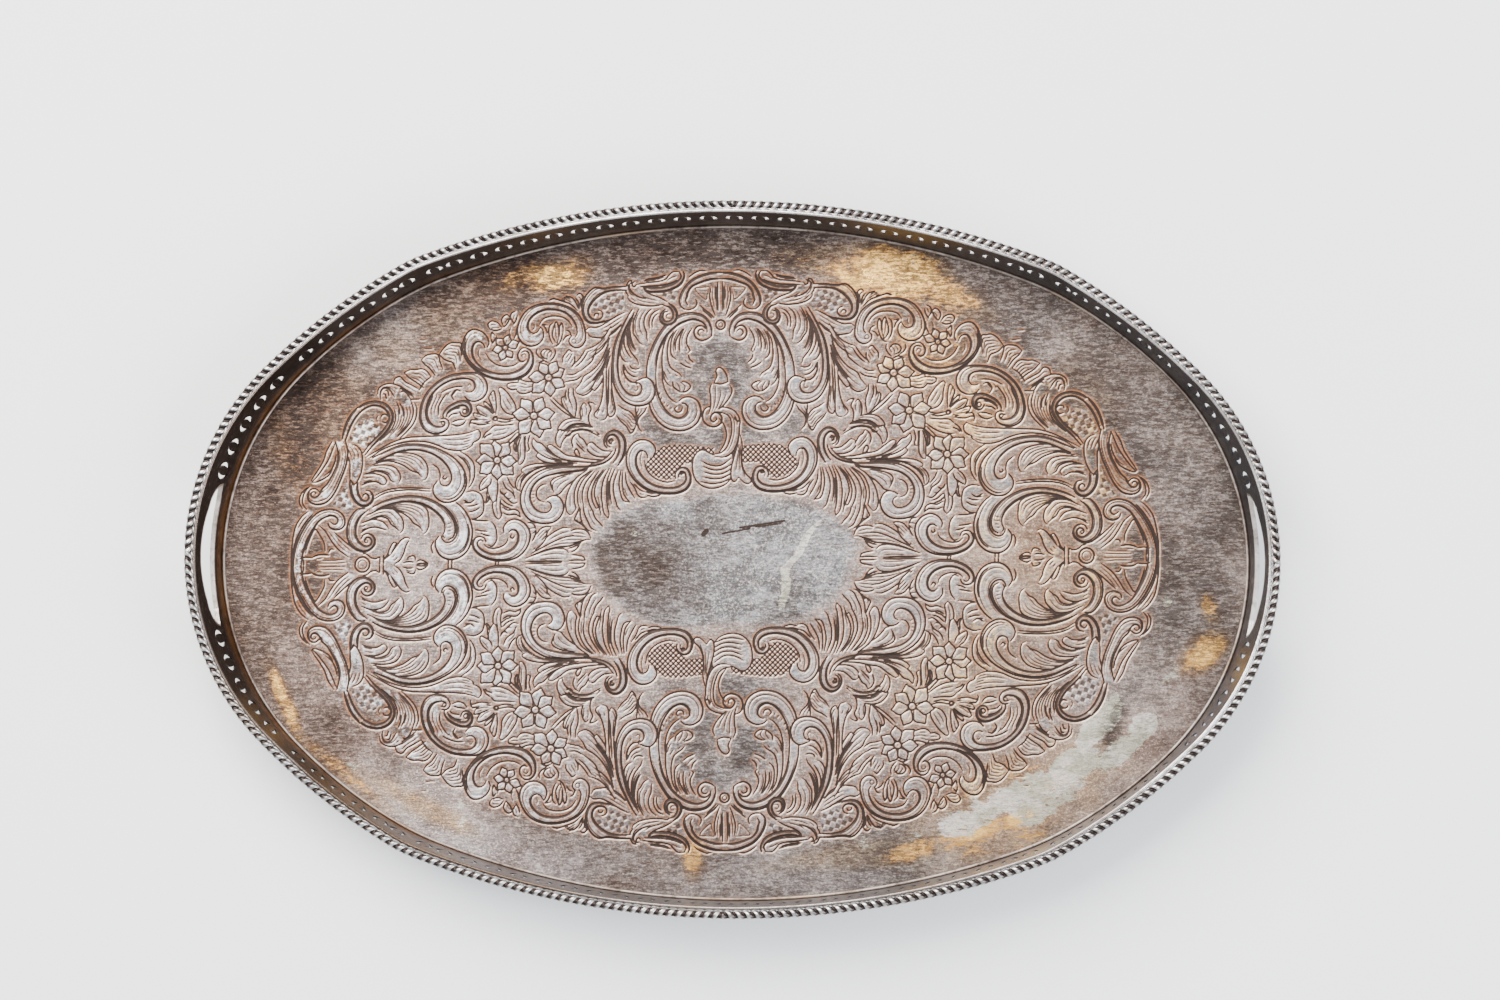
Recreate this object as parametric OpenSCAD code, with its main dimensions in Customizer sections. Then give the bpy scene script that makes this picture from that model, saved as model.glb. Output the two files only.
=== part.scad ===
// Oval gallery tray: a chased flat floor inside an upright pierced wall,
// topped by a gadroon rim moulding, with a hand hole at each end.
// Origin: centre of the tray, on the surface that its feet stand on.
// +Z is up, X runs along the tray, Y runs across it.

/* [Tray] */
// Length over the rim moulding
tray_l = 560; // [520:1:590]
// Width over the rim moulding
tray_w = 367; // [350:1:420]
// Height from the floor's upper face to the top of the rim
gallery_h = 37; // [32:0.5:44]
// Thickness of the floor sheet
sheet_t = 1.4; // [1:0.1:2]
// How far the wall leans out at the middle of each end
end_flare = 6.9; // [3:0.1:9]
// How far the wall leans out at the middle of each long side
side_flare = 1.7; // [0.5:0.1:4]

/* [Plan curve] */
// Direction that the outline faces where each end arc stops, in degrees
end_turn = 45; // [40:0.5:49]
// Direction that it faces where each flank arc stops
flank_turn = 60; // [58.5:0.5:62]
// Direction that it faces where each shoulder arc stops
shoulder_turn = 69.5; // [66:0.5:72]
// Radius of the flanks at the rim
rim_flank_r = 335; // [280:5:380]
// Radius of the four soft shoulders at the rim
rim_shoulder_r = 75; // [60:1:120]
// Radius of the flanks at the floor
floor_flank_r = 250; // [220:5:280]
// Radius of the shoulders at the floor
floor_shoulder_r = 160; // [140:5:200]

/* [Gallery wall] */
// Thickness of the wall sheet
wall_t = 0.8; // [0.6:0.1:1.6]
// Distance from one pair of crescents to the next
pair_pitch = 13.4; // [13:0.1:16]
// Height of each crescent
crescent_h = 14; // [10:0.5:16]
// Depth of each crescent from its tips to its back
crescent_d = 4; // [3:0.1:4.2]
// Thickness of each crescent at its middle
crescent_t = 2; // [1.9:0.1:2.4]
// Width of the plain oval between the two crescents of a pair
oval_w = 5.2; // [4.8:0.1:6]
// Height of the crescents' middle above the floor
crescent_z = 19; // [16:0.5:21]

/* [Hand holes] */
// Length of each hand hole along the wall
hole_l = 72; // [60:1:84]
// Height of the hole's lower edge above the floor
hole_low = 11; // [9:0.5:13]
// Height of the hole's crown above the floor
hole_high = 28.4; // [25:0.2:29]
// Height of the two pointed ends above the floor
hole_tip = 13.4; // [12:0.2:16]
// Width of the turned lip around the hole, seen from the side
lip_w = 1.2; // [0.8:0.1:1.6]
// How far the lip stands out from the wall
lip_proud = 1.4; // [1:0.1:2.5]

/* [Rim moulding] */
// Width of the moulding, from the wall's inner face to the outer edge
rim_w = 6.3; // [5:0.1:9]
// Thickness of the plain inner band
band_t = 1.6; // [1.2:0.1:2.4]
// Radius of the gadroon roll
roll_r = 2.3; // [2:0.1:2.6]
// Height of the gadroon roll
roll_h = 5.6; // [5:0.1:8]
// Radius of the half-round wire along the foot of the wall
wire_r = 0.8; // [0.6:0.1:1.4]

/* [Feet] */
// Height of each foot
foot_h = 9; // [6:0.5:10]
// Diameter of each foot's bun
foot_d = 19; // [18:1:26]
// Diameter of each foot's plate under the floor
foot_plate_d = 24; // [20:1:32]
// Distance of the feet from the middle, along the tray
foot_x = 165; // [120:5:180]
// Distance of the feet from the middle, across the tray
foot_y = 100; // [80:5:110]

/* [Hidden] */

silver = [0.66, 0.64, 0.62];
dark_silver = [0.42, 0.39, 0.37];
bright_silver = [0.78, 0.77, 0.76];

// Levels above the surface that the tray stands on
floor_z = foot_h + sheet_t;
rim_top_z = floor_z + gallery_h;
wall_top_z = rim_top_z - band_t;
wall_h = wall_top_z - floor_z;

// The outline of a quadrant is four tangent arcs: end, flank, shoulder, side.
// The end and side radii follow from the overall length and width.
turns = [0, end_turn, flank_turn, shoulder_turn, 90];
function arc_radii(half_l, half_w, flank_r, shoulder_r) =
    let (dc = [for (i = [0:3]) cos(turns[i + 1]) - cos(turns[i])],
         ds = [for (i = [0:3]) sin(turns[i + 1]) - sin(turns[i])],
         x = -half_l - flank_r * dc[1] - shoulder_r * dc[2],
         y = half_w - flank_r * ds[1] - shoulder_r * ds[2],
         det = dc[0] * ds[3] - dc[3] * ds[0])
    [(x * ds[3] - dc[3] * y) / det, flank_r, shoulder_r, (dc[0] * y - x * ds[0]) / det];
function arc_centres(half_l, radii) =
    let (c0 = [half_l - radii[0], 0],
         c1 = c0 + (radii[0] - radii[1]) * [cos(turns[1]), sin(turns[1])],
         c2 = c1 + (radii[1] - radii[2]) * [cos(turns[2]), sin(turns[2])],
         c3 = c2 + (radii[2] - radii[3]) * [cos(turns[3]), sin(turns[3])])
    [c0, c1, c2, c3];

floor_half = [tray_l / 2 - rim_w - end_flare, tray_w / 2 - rim_w - side_flare];
rim_radii = arc_radii(tray_l / 2, tray_w / 2, rim_flank_r, rim_shoulder_r);
rim_centres = arc_centres(tray_l / 2, rim_radii);
floor_radii = arc_radii(floor_half.x, floor_half.y, floor_flank_r, floor_shoulder_r);
floor_centres = arc_centres(floor_half.x, floor_radii);

// Point of an outline where it faces the direction a, moved out by d
function arc_index(a) = a <= turns[1] ? 0 : a <= turns[2] ? 1 : a <= turns[3] ? 2 : 3;
function quadrant_point(centres, radii, a, d) =
    let (i = arc_index(a)) centres[i] + (radii[i] + d) * [cos(a), sin(a)];
function outline_point(centres, radii, a, d) =
    let (q = abs(a) > 90 ? 180 - abs(a) : abs(a), p = quadrant_point(centres, radii, q, d))
    [abs(a) > 90 ? -p.x : p.x, a < 0 ? -p.y : p.y];
function floor_point(a, d) = outline_point(floor_centres, floor_radii, a, d);
function rim_point(a, d) = outline_point(rim_centres, rim_radii, a, d);
// Point of the wall at height fraction v, at depth d out from its inner face
function wall_point(a, v, d) =
    let (low = floor_point(a, d), high = rim_point(a, d - rim_w))
    [for (p = [low * (1 - v) + high * v]) each [p.x, p.y, floor_z + v * wall_h]];

// The sections meet in the middle of the shoulders
joint_turn = (flank_turn + shoulder_turn) / 2;
// Seams between arcs are bridged by a slice this thick and this much larger
seam_t = 0.3;
seam_grow = 0.02;
// Space between the wire and the wall
wire_gap = 0.1;
// How far a crescent's punch reaches to each side of the wall's inner face
punch_reach = 5;
// The hand hole's punch starts this far inside the floor's end, and is this long
hole_punch_back = 20;
hole_punch_l = 60;
// Steps along the end walls, the side walls and the lips
end_steps = 52;
side_steps = 24;
lip_steps = 24;
// The lip is cut from the wall between these directions
lip_turn = 24;
// Thickness of the plate on top of each foot
foot_plate_t = 1.2;

// A closed solid through rings of four corners each
module ring_loft(rings) {
    n = len(rings);
    sides = [for (i = [0:n - 2], k = [0:3])
        let (a = 4 * i + k, b = 4 * i + (k + 1) % 4)
        each [[a, a + 4, b + 4], [a, b + 4, b]]];
    caps = [[0, 1, 2], [0, 2, 3], [4 * n - 1, 4 * n - 2, 4 * n - 3], [4 * n - 1, 4 * n - 3, 4 * n - 4]];
    polyhedron([for (r = rings) each r], concat(sides, caps));
}

// The wall sheet between two facing directions, from depth d0 to depth d1
module wall_sheet(from, to, d0, d1, steps) {
    ring_loft([for (i = [0:steps])
        let (a = from + (to - from) * i / steps)
        [wall_point(a, 0, d0), wall_point(a, 1, d0), wall_point(a, 1, d1), wall_point(a, 0, d1)]]);
}

// A crescent, standing on its tips, with its back towards -X
function sag_radius(half, sag) = (half * half + sag * sag) / (2 * sag);
function crescent_edge(sag, y) =
    let (r = sag_radius(crescent_h / 2, sag)) crescent_d - sag + r - sqrt(r * r - y * y);
module crescent() {
    ys = [for (i = [-4:4]) i * crescent_h / 8];
    back = [for (y = ys) [crescent_edge(crescent_d, y), y]];
    belly = [for (i = [7:-1:1]) [crescent_edge(crescent_d - crescent_t, ys[i]), ys[i]]];
    polygon(concat(back, belly));
}

// Both crescents of a pair, as a punch that faces the direction a
module pair_punch(a) {
    v = crescent_z / wall_h;
    p = wall_point(a, v, 0);
    translate([p.x, p.y, p.z])
        rotate([90, 0, a + 90])
            translate([0, 0, -punch_reach])
                linear_extrude(2 * punch_reach)
                    for (m = [0, 1])
                        mirror([m, 0, 0])
                            translate([-oval_w / 2 - crescent_t, 0])
                                crescent();
}

// Radius of the wall halfway up, on the arc that faces the direction a
function wall_radius(a) = let (i = arc_index(a)) (floor_radii[i] + rim_radii[i] - rim_w) / 2;
// Directions of the pairs, a pitch apart along the wall, from one direction to another
function pair_turns(from, to) =
    let (way = sign(to - from), step = pair_pitch / wall_radius(from) * 180 / PI)
    abs(to - from) < step / 2 ? [] : concat([from], pair_turns(from + way * step, to));
hole_turn = (hole_l / 2 + pair_pitch * 0.62) / wall_radius(0) * 180 / PI;
end_pairs = pair_turns(hole_turn, joint_turn);
side_pairs = pair_turns(90, joint_turn);

// The hole's crown falls by this much from its middle to where the pointed ends begin
crown_fall = 4.2;
kink_x = hole_l / 3;
kink_z = hole_high - crown_fall;
// Near the ends the lower edge rises by heel_rise, at heel_x beyond the crown
heel_x = 4;
heel_rise = 0.7;
crown_r = sag_radius(kink_x, crown_fall);
function hole_top(x) = hole_high - crown_r + sqrt(crown_r * crown_r - x * x);
// Outline of the hand hole in the upright plane, grown by g
function hole_half(g) = concat(
    [for (i = [0:5]) let (x = kink_x * i / 5) [x, hole_top(x) + g]],
    [for (i = [1:4]) let (t = 90 * i / 4)
        [kink_x + (hole_l / 2 + g - kink_x) * sin(t), hole_tip + (kink_z + g - hole_tip) * cos(t)]],
    [[kink_x + heel_x, hole_low + heel_rise - g], [kink_x / 2, hole_low - g]]);
module hole_outline(g) {
    half = hole_half(g);
    polygon(concat(half, [for (i = [len(half) - 1:-1:1]) [-half[i].x, half[i].y]]));
}
module hole_punch(g) {
    translate([floor_half.x - hole_punch_back, 0, floor_z])
        rotate([90, 0, 90])
            linear_extrude(hole_punch_l)
                hole_outline(g);
}

module end_wall() {
    difference() {
        wall_sheet(-joint_turn, joint_turn, 0, wall_t, end_steps);
        hole_punch(lip_w);
        for (a = end_pairs, s = [-1, 1])
            pair_punch(s * a);
    }
}
module side_wall() {
    difference() {
        wall_sheet(joint_turn, 180 - joint_turn, 0, wall_t, side_steps);
        for (a = side_pairs)
            pair_punch(a);
        for (a = side_pairs)
            if (a < 90)
                pair_punch(180 - a);
    }
}
module hole_lip() {
    intersection() {
        wall_sheet(-lip_turn, lip_turn, 0, wall_t + lip_proud, lip_steps);
        difference() {
            hole_punch(lip_w);
            hole_punch(0);
        }
    }
}

// Sweeps the profile given as children, whose X is measured out from the outline,
// along the arc with index i between two facing directions
module arc_sweep(centres, radii, i, from, to) {
    translate([centres[i].x, centres[i].y, 0])
        rotate(from)
            rotate_extrude(angle = to - from, $fn = 180)
                translate([radii[i], 0])
                    children();
}
// A thin slice of the profile across the outline, where two arcs meet
module seam(centres, radii, a) {
    p = outline_point(centres, radii, a, 0);
    translate([p.x, p.y, 0])
        rotate([90, 0, a])
            translate([0, 0, -seam_t / 2])
                linear_extrude(seam_t)
                    children();
}
// Child 0 is the profile, and child 1 is the same profile a hair larger, for the seams
module end_sweep(centres, radii) {
    arc_sweep(centres, radii, 0, -turns[1], turns[1])
        children(0);
    for (m = [0, 1])
        mirror([0, m, 0]) {
            arc_sweep(centres, radii, 1, turns[1], turns[2])
                children(0);
            arc_sweep(centres, radii, 2, turns[2], joint_turn)
                children(0);
            for (a = [turns[1], turns[2]])
                seam(centres, radii, a)
                    children(1);
        }
}
module side_sweep(centres, radii) {
    arc_sweep(centres, radii, 3, turns[3], 180 - turns[3])
        children(0);
    for (m = [0, 1])
        mirror([m, 0, 0]) {
            arc_sweep(centres, radii, 2, joint_turn, turns[3])
                children(0);
            seam(centres, radii, turns[3])
                children(1);
        }
}

// The inner band with the gadroon roll outside it, grown by g
module rim_profile(g) {
    roll_z = rim_top_z - roll_r;
    roll_low_z = rim_top_z - roll_h + roll_r;
    translate([-rim_w - g, wall_top_z - g])
        square([rim_w - roll_r + g, band_t + 2 * g]);
    for (z = [roll_z, roll_low_z])
        translate([-roll_r, z])
            circle(roll_r + g, $fn = 48);
    translate([-2 * roll_r - g, roll_low_z])
        square([2 * (roll_r + g), roll_z - roll_low_z]);
}
module end_rim() {
    end_sweep(rim_centres, rim_radii) {
        rim_profile(0);
        rim_profile(seam_grow);
    }
}
module side_rim() {
    side_sweep(rim_centres, rim_radii) {
        rim_profile(0);
        rim_profile(seam_grow);
    }
}
// Half-round wire, flat side down on the floor, just inside the wall
module wire_profile(g) {
    translate([-wire_r - wire_gap, floor_z])
        intersection() {
            circle(wire_r + g, $fn = 32);
            translate([-wire_r - g, -g])
                square([2 * (wire_r + g), wire_r + 2 * g]);
        }
}

module floor_sheet() color(silver)
    translate([0, 0, foot_h])
        linear_extrude(sheet_t)
            polygon([for (a = [-180:2.5:177.5]) floor_point(a, wall_t)]);
module base_wire_end() color(bright_silver)
    end_sweep(floor_centres, floor_radii) {
        wire_profile(0);
        wire_profile(seam_grow);
    }
module base_wire_side() color(bright_silver)
    side_sweep(floor_centres, floor_radii) {
        wire_profile(0);
        wire_profile(seam_grow);
    }
module base_wire_right() base_wire_end();
module base_wire_left() mirror([1, 0, 0]) base_wire_end();
module base_wire_back() base_wire_side();
module base_wire_front() mirror([0, 1, 0]) base_wire_side();
module gallery_right() color(dark_silver) end_wall();
module gallery_left() color(dark_silver) mirror([1, 0, 0]) end_wall();
module gallery_back() color(dark_silver) side_wall();
module gallery_front() color(dark_silver) mirror([0, 1, 0]) side_wall();
module hand_hole_lip_right() color(silver) hole_lip();
module hand_hole_lip_left() color(silver) mirror([1, 0, 0]) hole_lip();
module rim_right() color(bright_silver) end_rim();
module rim_left() color(bright_silver) mirror([1, 0, 0]) end_rim();
module rim_back() color(bright_silver) side_rim();
module rim_front() color(bright_silver) mirror([0, 1, 0]) side_rim();

// A flattened bun on a thin round plate, with a small flat to stand on
module foot(sx, sy) color(silver) {
    bun_r = foot_d / 2;
    body_h = foot_h - foot_plate_t;
    translate([sx * foot_x, sy * foot_y, 0])
        union() {
            translate([0, 0, body_h])
                cylinder(h = foot_plate_t, d = foot_plate_d, $fn = 64);
            rotate_extrude($fn = 64)
                union() {
                    square([bun_r - body_h / 2, body_h + foot_plate_t / 2]);
                    translate([bun_r - body_h / 2, body_h / 2])
                        circle(body_h / 2, $fn = 32);
                }
        }
}

floor_sheet();
gallery_back();
gallery_front();
gallery_left();
gallery_right();
hand_hole_lip_left();
hand_hole_lip_right();
base_wire_back();
base_wire_front();
base_wire_left();
base_wire_right();
rim_back();
rim_front();
rim_left();
rim_right();
foot(-1, 1);  // foot_back_left
foot(1, 1);  // foot_back_right
foot(-1, -1);  // foot_front_left
foot(1, -1);  // foot_front_right
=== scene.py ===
import bpy
import math
import numpy as np
from mathutils import Matrix, Vector


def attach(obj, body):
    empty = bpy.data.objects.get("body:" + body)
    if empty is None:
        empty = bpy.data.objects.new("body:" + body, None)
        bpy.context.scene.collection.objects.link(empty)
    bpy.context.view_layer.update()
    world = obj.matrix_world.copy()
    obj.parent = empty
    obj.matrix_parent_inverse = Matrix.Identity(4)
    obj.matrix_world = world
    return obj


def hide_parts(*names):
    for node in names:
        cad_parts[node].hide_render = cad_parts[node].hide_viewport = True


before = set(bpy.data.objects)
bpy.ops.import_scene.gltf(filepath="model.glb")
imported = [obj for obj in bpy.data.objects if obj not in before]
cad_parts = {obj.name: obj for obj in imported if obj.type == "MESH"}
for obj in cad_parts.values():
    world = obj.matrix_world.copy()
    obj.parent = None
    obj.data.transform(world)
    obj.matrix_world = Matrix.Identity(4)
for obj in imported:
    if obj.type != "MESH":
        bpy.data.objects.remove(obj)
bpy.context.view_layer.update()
MM = 0.001                       # metres in a millimetre, the unit of the sizes below

# ---------------------------------------------------------------- the tray's outline, as in the CAD
TRAY_L, TRAY_W = 560.0, 367.0    # over the rim
RIM_W, WALL_T, SHEET_T = 6.3, 0.8, 1.4
FOOT_H, GALLERY_H, BAND_T = 9.0, 37.0, 1.6
ROLL_R, ROLL_H = 2.3, 5.6
FLOOR_Z = FOOT_H + SHEET_T
RIM_TOP = FLOOR_Z + GALLERY_H
WALL_TOP = RIM_TOP - BAND_T
WALL_H = WALL_TOP - FLOOR_Z
FLARE_ENDS, FLARE_SIDES = 6.9, 1.7                    # how far the wall leans outwards
FLOOR_HALF = (TRAY_L / 2 - RIM_W - FLARE_ENDS, TRAY_W / 2 - RIM_W - FLARE_SIDES)
TURNS = np.radians([0, 45, 60, 69.5, 90])             # directions where one arc meets the next
JOINT_TURN = 64.75                                    # degrees, where two lengths of the rim meet


def arcs(half_l, half_w, flank_r, shoulder_r):
    """Centres and radii of the four tangent arcs of a quadrant."""
    dc, ds = np.diff(np.cos(TURNS)), np.diff(np.sin(TURNS))
    x = -half_l - flank_r * dc[1] - shoulder_r * dc[2]
    y = half_w - flank_r * ds[1] - shoulder_r * ds[2]
    det = dc[0] * ds[3] - dc[3] * ds[0]
    r = np.array([(x * ds[3] - dc[3] * y) / det, flank_r, shoulder_r, (dc[0] * y - x * ds[0]) / det])
    c = [np.array([half_l - r[0], 0.0])]
    for i in range(3):
        c.append(c[i] + (r[i] - r[i + 1]) * np.array([np.cos(TURNS[i + 1]), np.sin(TURNS[i + 1])]))
    return np.array(c), r


RIM_ARCS = arcs(TRAY_L / 2, TRAY_W / 2, flank_r=335.0, shoulder_r=75.0)
FLOOR_ARCS = arcs(*FLOOR_HALF, flank_r=250.0, shoulder_r=160.0)


def outline(which, turn, out=0.0):
    """Points of an outline where it faces the directions turn (degrees, -180 to 180), moved out."""
    centres, radii = which
    turn = (np.asarray(turn, float) + 180) % 360 - 180
    q = np.abs(turn)
    back = q > 90
    q = np.radians(np.where(back, 180 - q, q))
    i = np.clip(np.searchsorted(TURNS, q, side="left") - 1, 0, 3)
    x = centres[i, 0] + (radii[i] + out) * np.cos(q)
    y = centres[i, 1] + (radii[i] + out) * np.sin(q)
    return np.stack([np.where(back, -x, x), np.where(turn < 0, -y, y)], -1)


def make_object(name, verts, faces, body="root", smooth_faces=True):
    """A mesh object from points in metres, carried by one of the frame's bodies."""
    me = bpy.data.meshes.new(name)
    me.from_pydata([tuple(v) for v in verts], [], faces)
    me.update()
    if smooth_faces:
        me.polygons.foreach_set("use_smooth", [True] * len(me.polygons))
    obj = bpy.data.objects.new(name, me)
    bpy.context.collection.objects.link(obj)
    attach(obj, body)
    return obj


def color_layer(me, name, columns):
    """Store four values from 0 to 1 at each point, for a material to read."""
    layer = me.attributes.new(name, "FLOAT_COLOR", "POINT")
    layer.data.foreach_set("color", np.clip(columns, 0, 1).astype(np.float32).ravel())


def value_noise(x, y, scale, seed):
    """Smooth noise between -1 and 1, the same on every run."""
    rng = np.random.default_rng(seed)
    n = 64                       # cells before the noise repeats
    table = rng.uniform(-1, 1, (n, n))
    u, v = x / scale + 17.3, y / scale + 9.1
    i, j = np.floor(u).astype(int), np.floor(v).astype(int)
    fu, fv = u - i, v - j
    fu, fv = fu * fu * (3 - 2 * fu), fv * fv * (3 - 2 * fv)
    a, b = table[j % n, i % n], table[j % n, (i + 1) % n]
    c, d = table[(j + 1) % n, i % n], table[(j + 1) % n, (i + 1) % n]
    return (a * (1 - fu) + b * fu) * (1 - fv) + (c * (1 - fu) + d * fu) * fv


def fractal(x, y, scale, seed, octaves=4):
    """Noise with finer and fainter layers added."""
    return sum(value_noise(x, y, scale / 2 ** k, seed + k) / 1.6 ** k for k in range(octaves)) / 1.9


# ---------------------------------------------------------------- chased ornament
# One quarter of the chased pattern, in millimetres from the middle of the pattern.
# A stroke is (weight, x, y, x, y, ...): the graver follows a smooth curve through the points.
# A stroke is heavy, medium or fine.
H, M, F = 1.0, 0.76, 0.56

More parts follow.
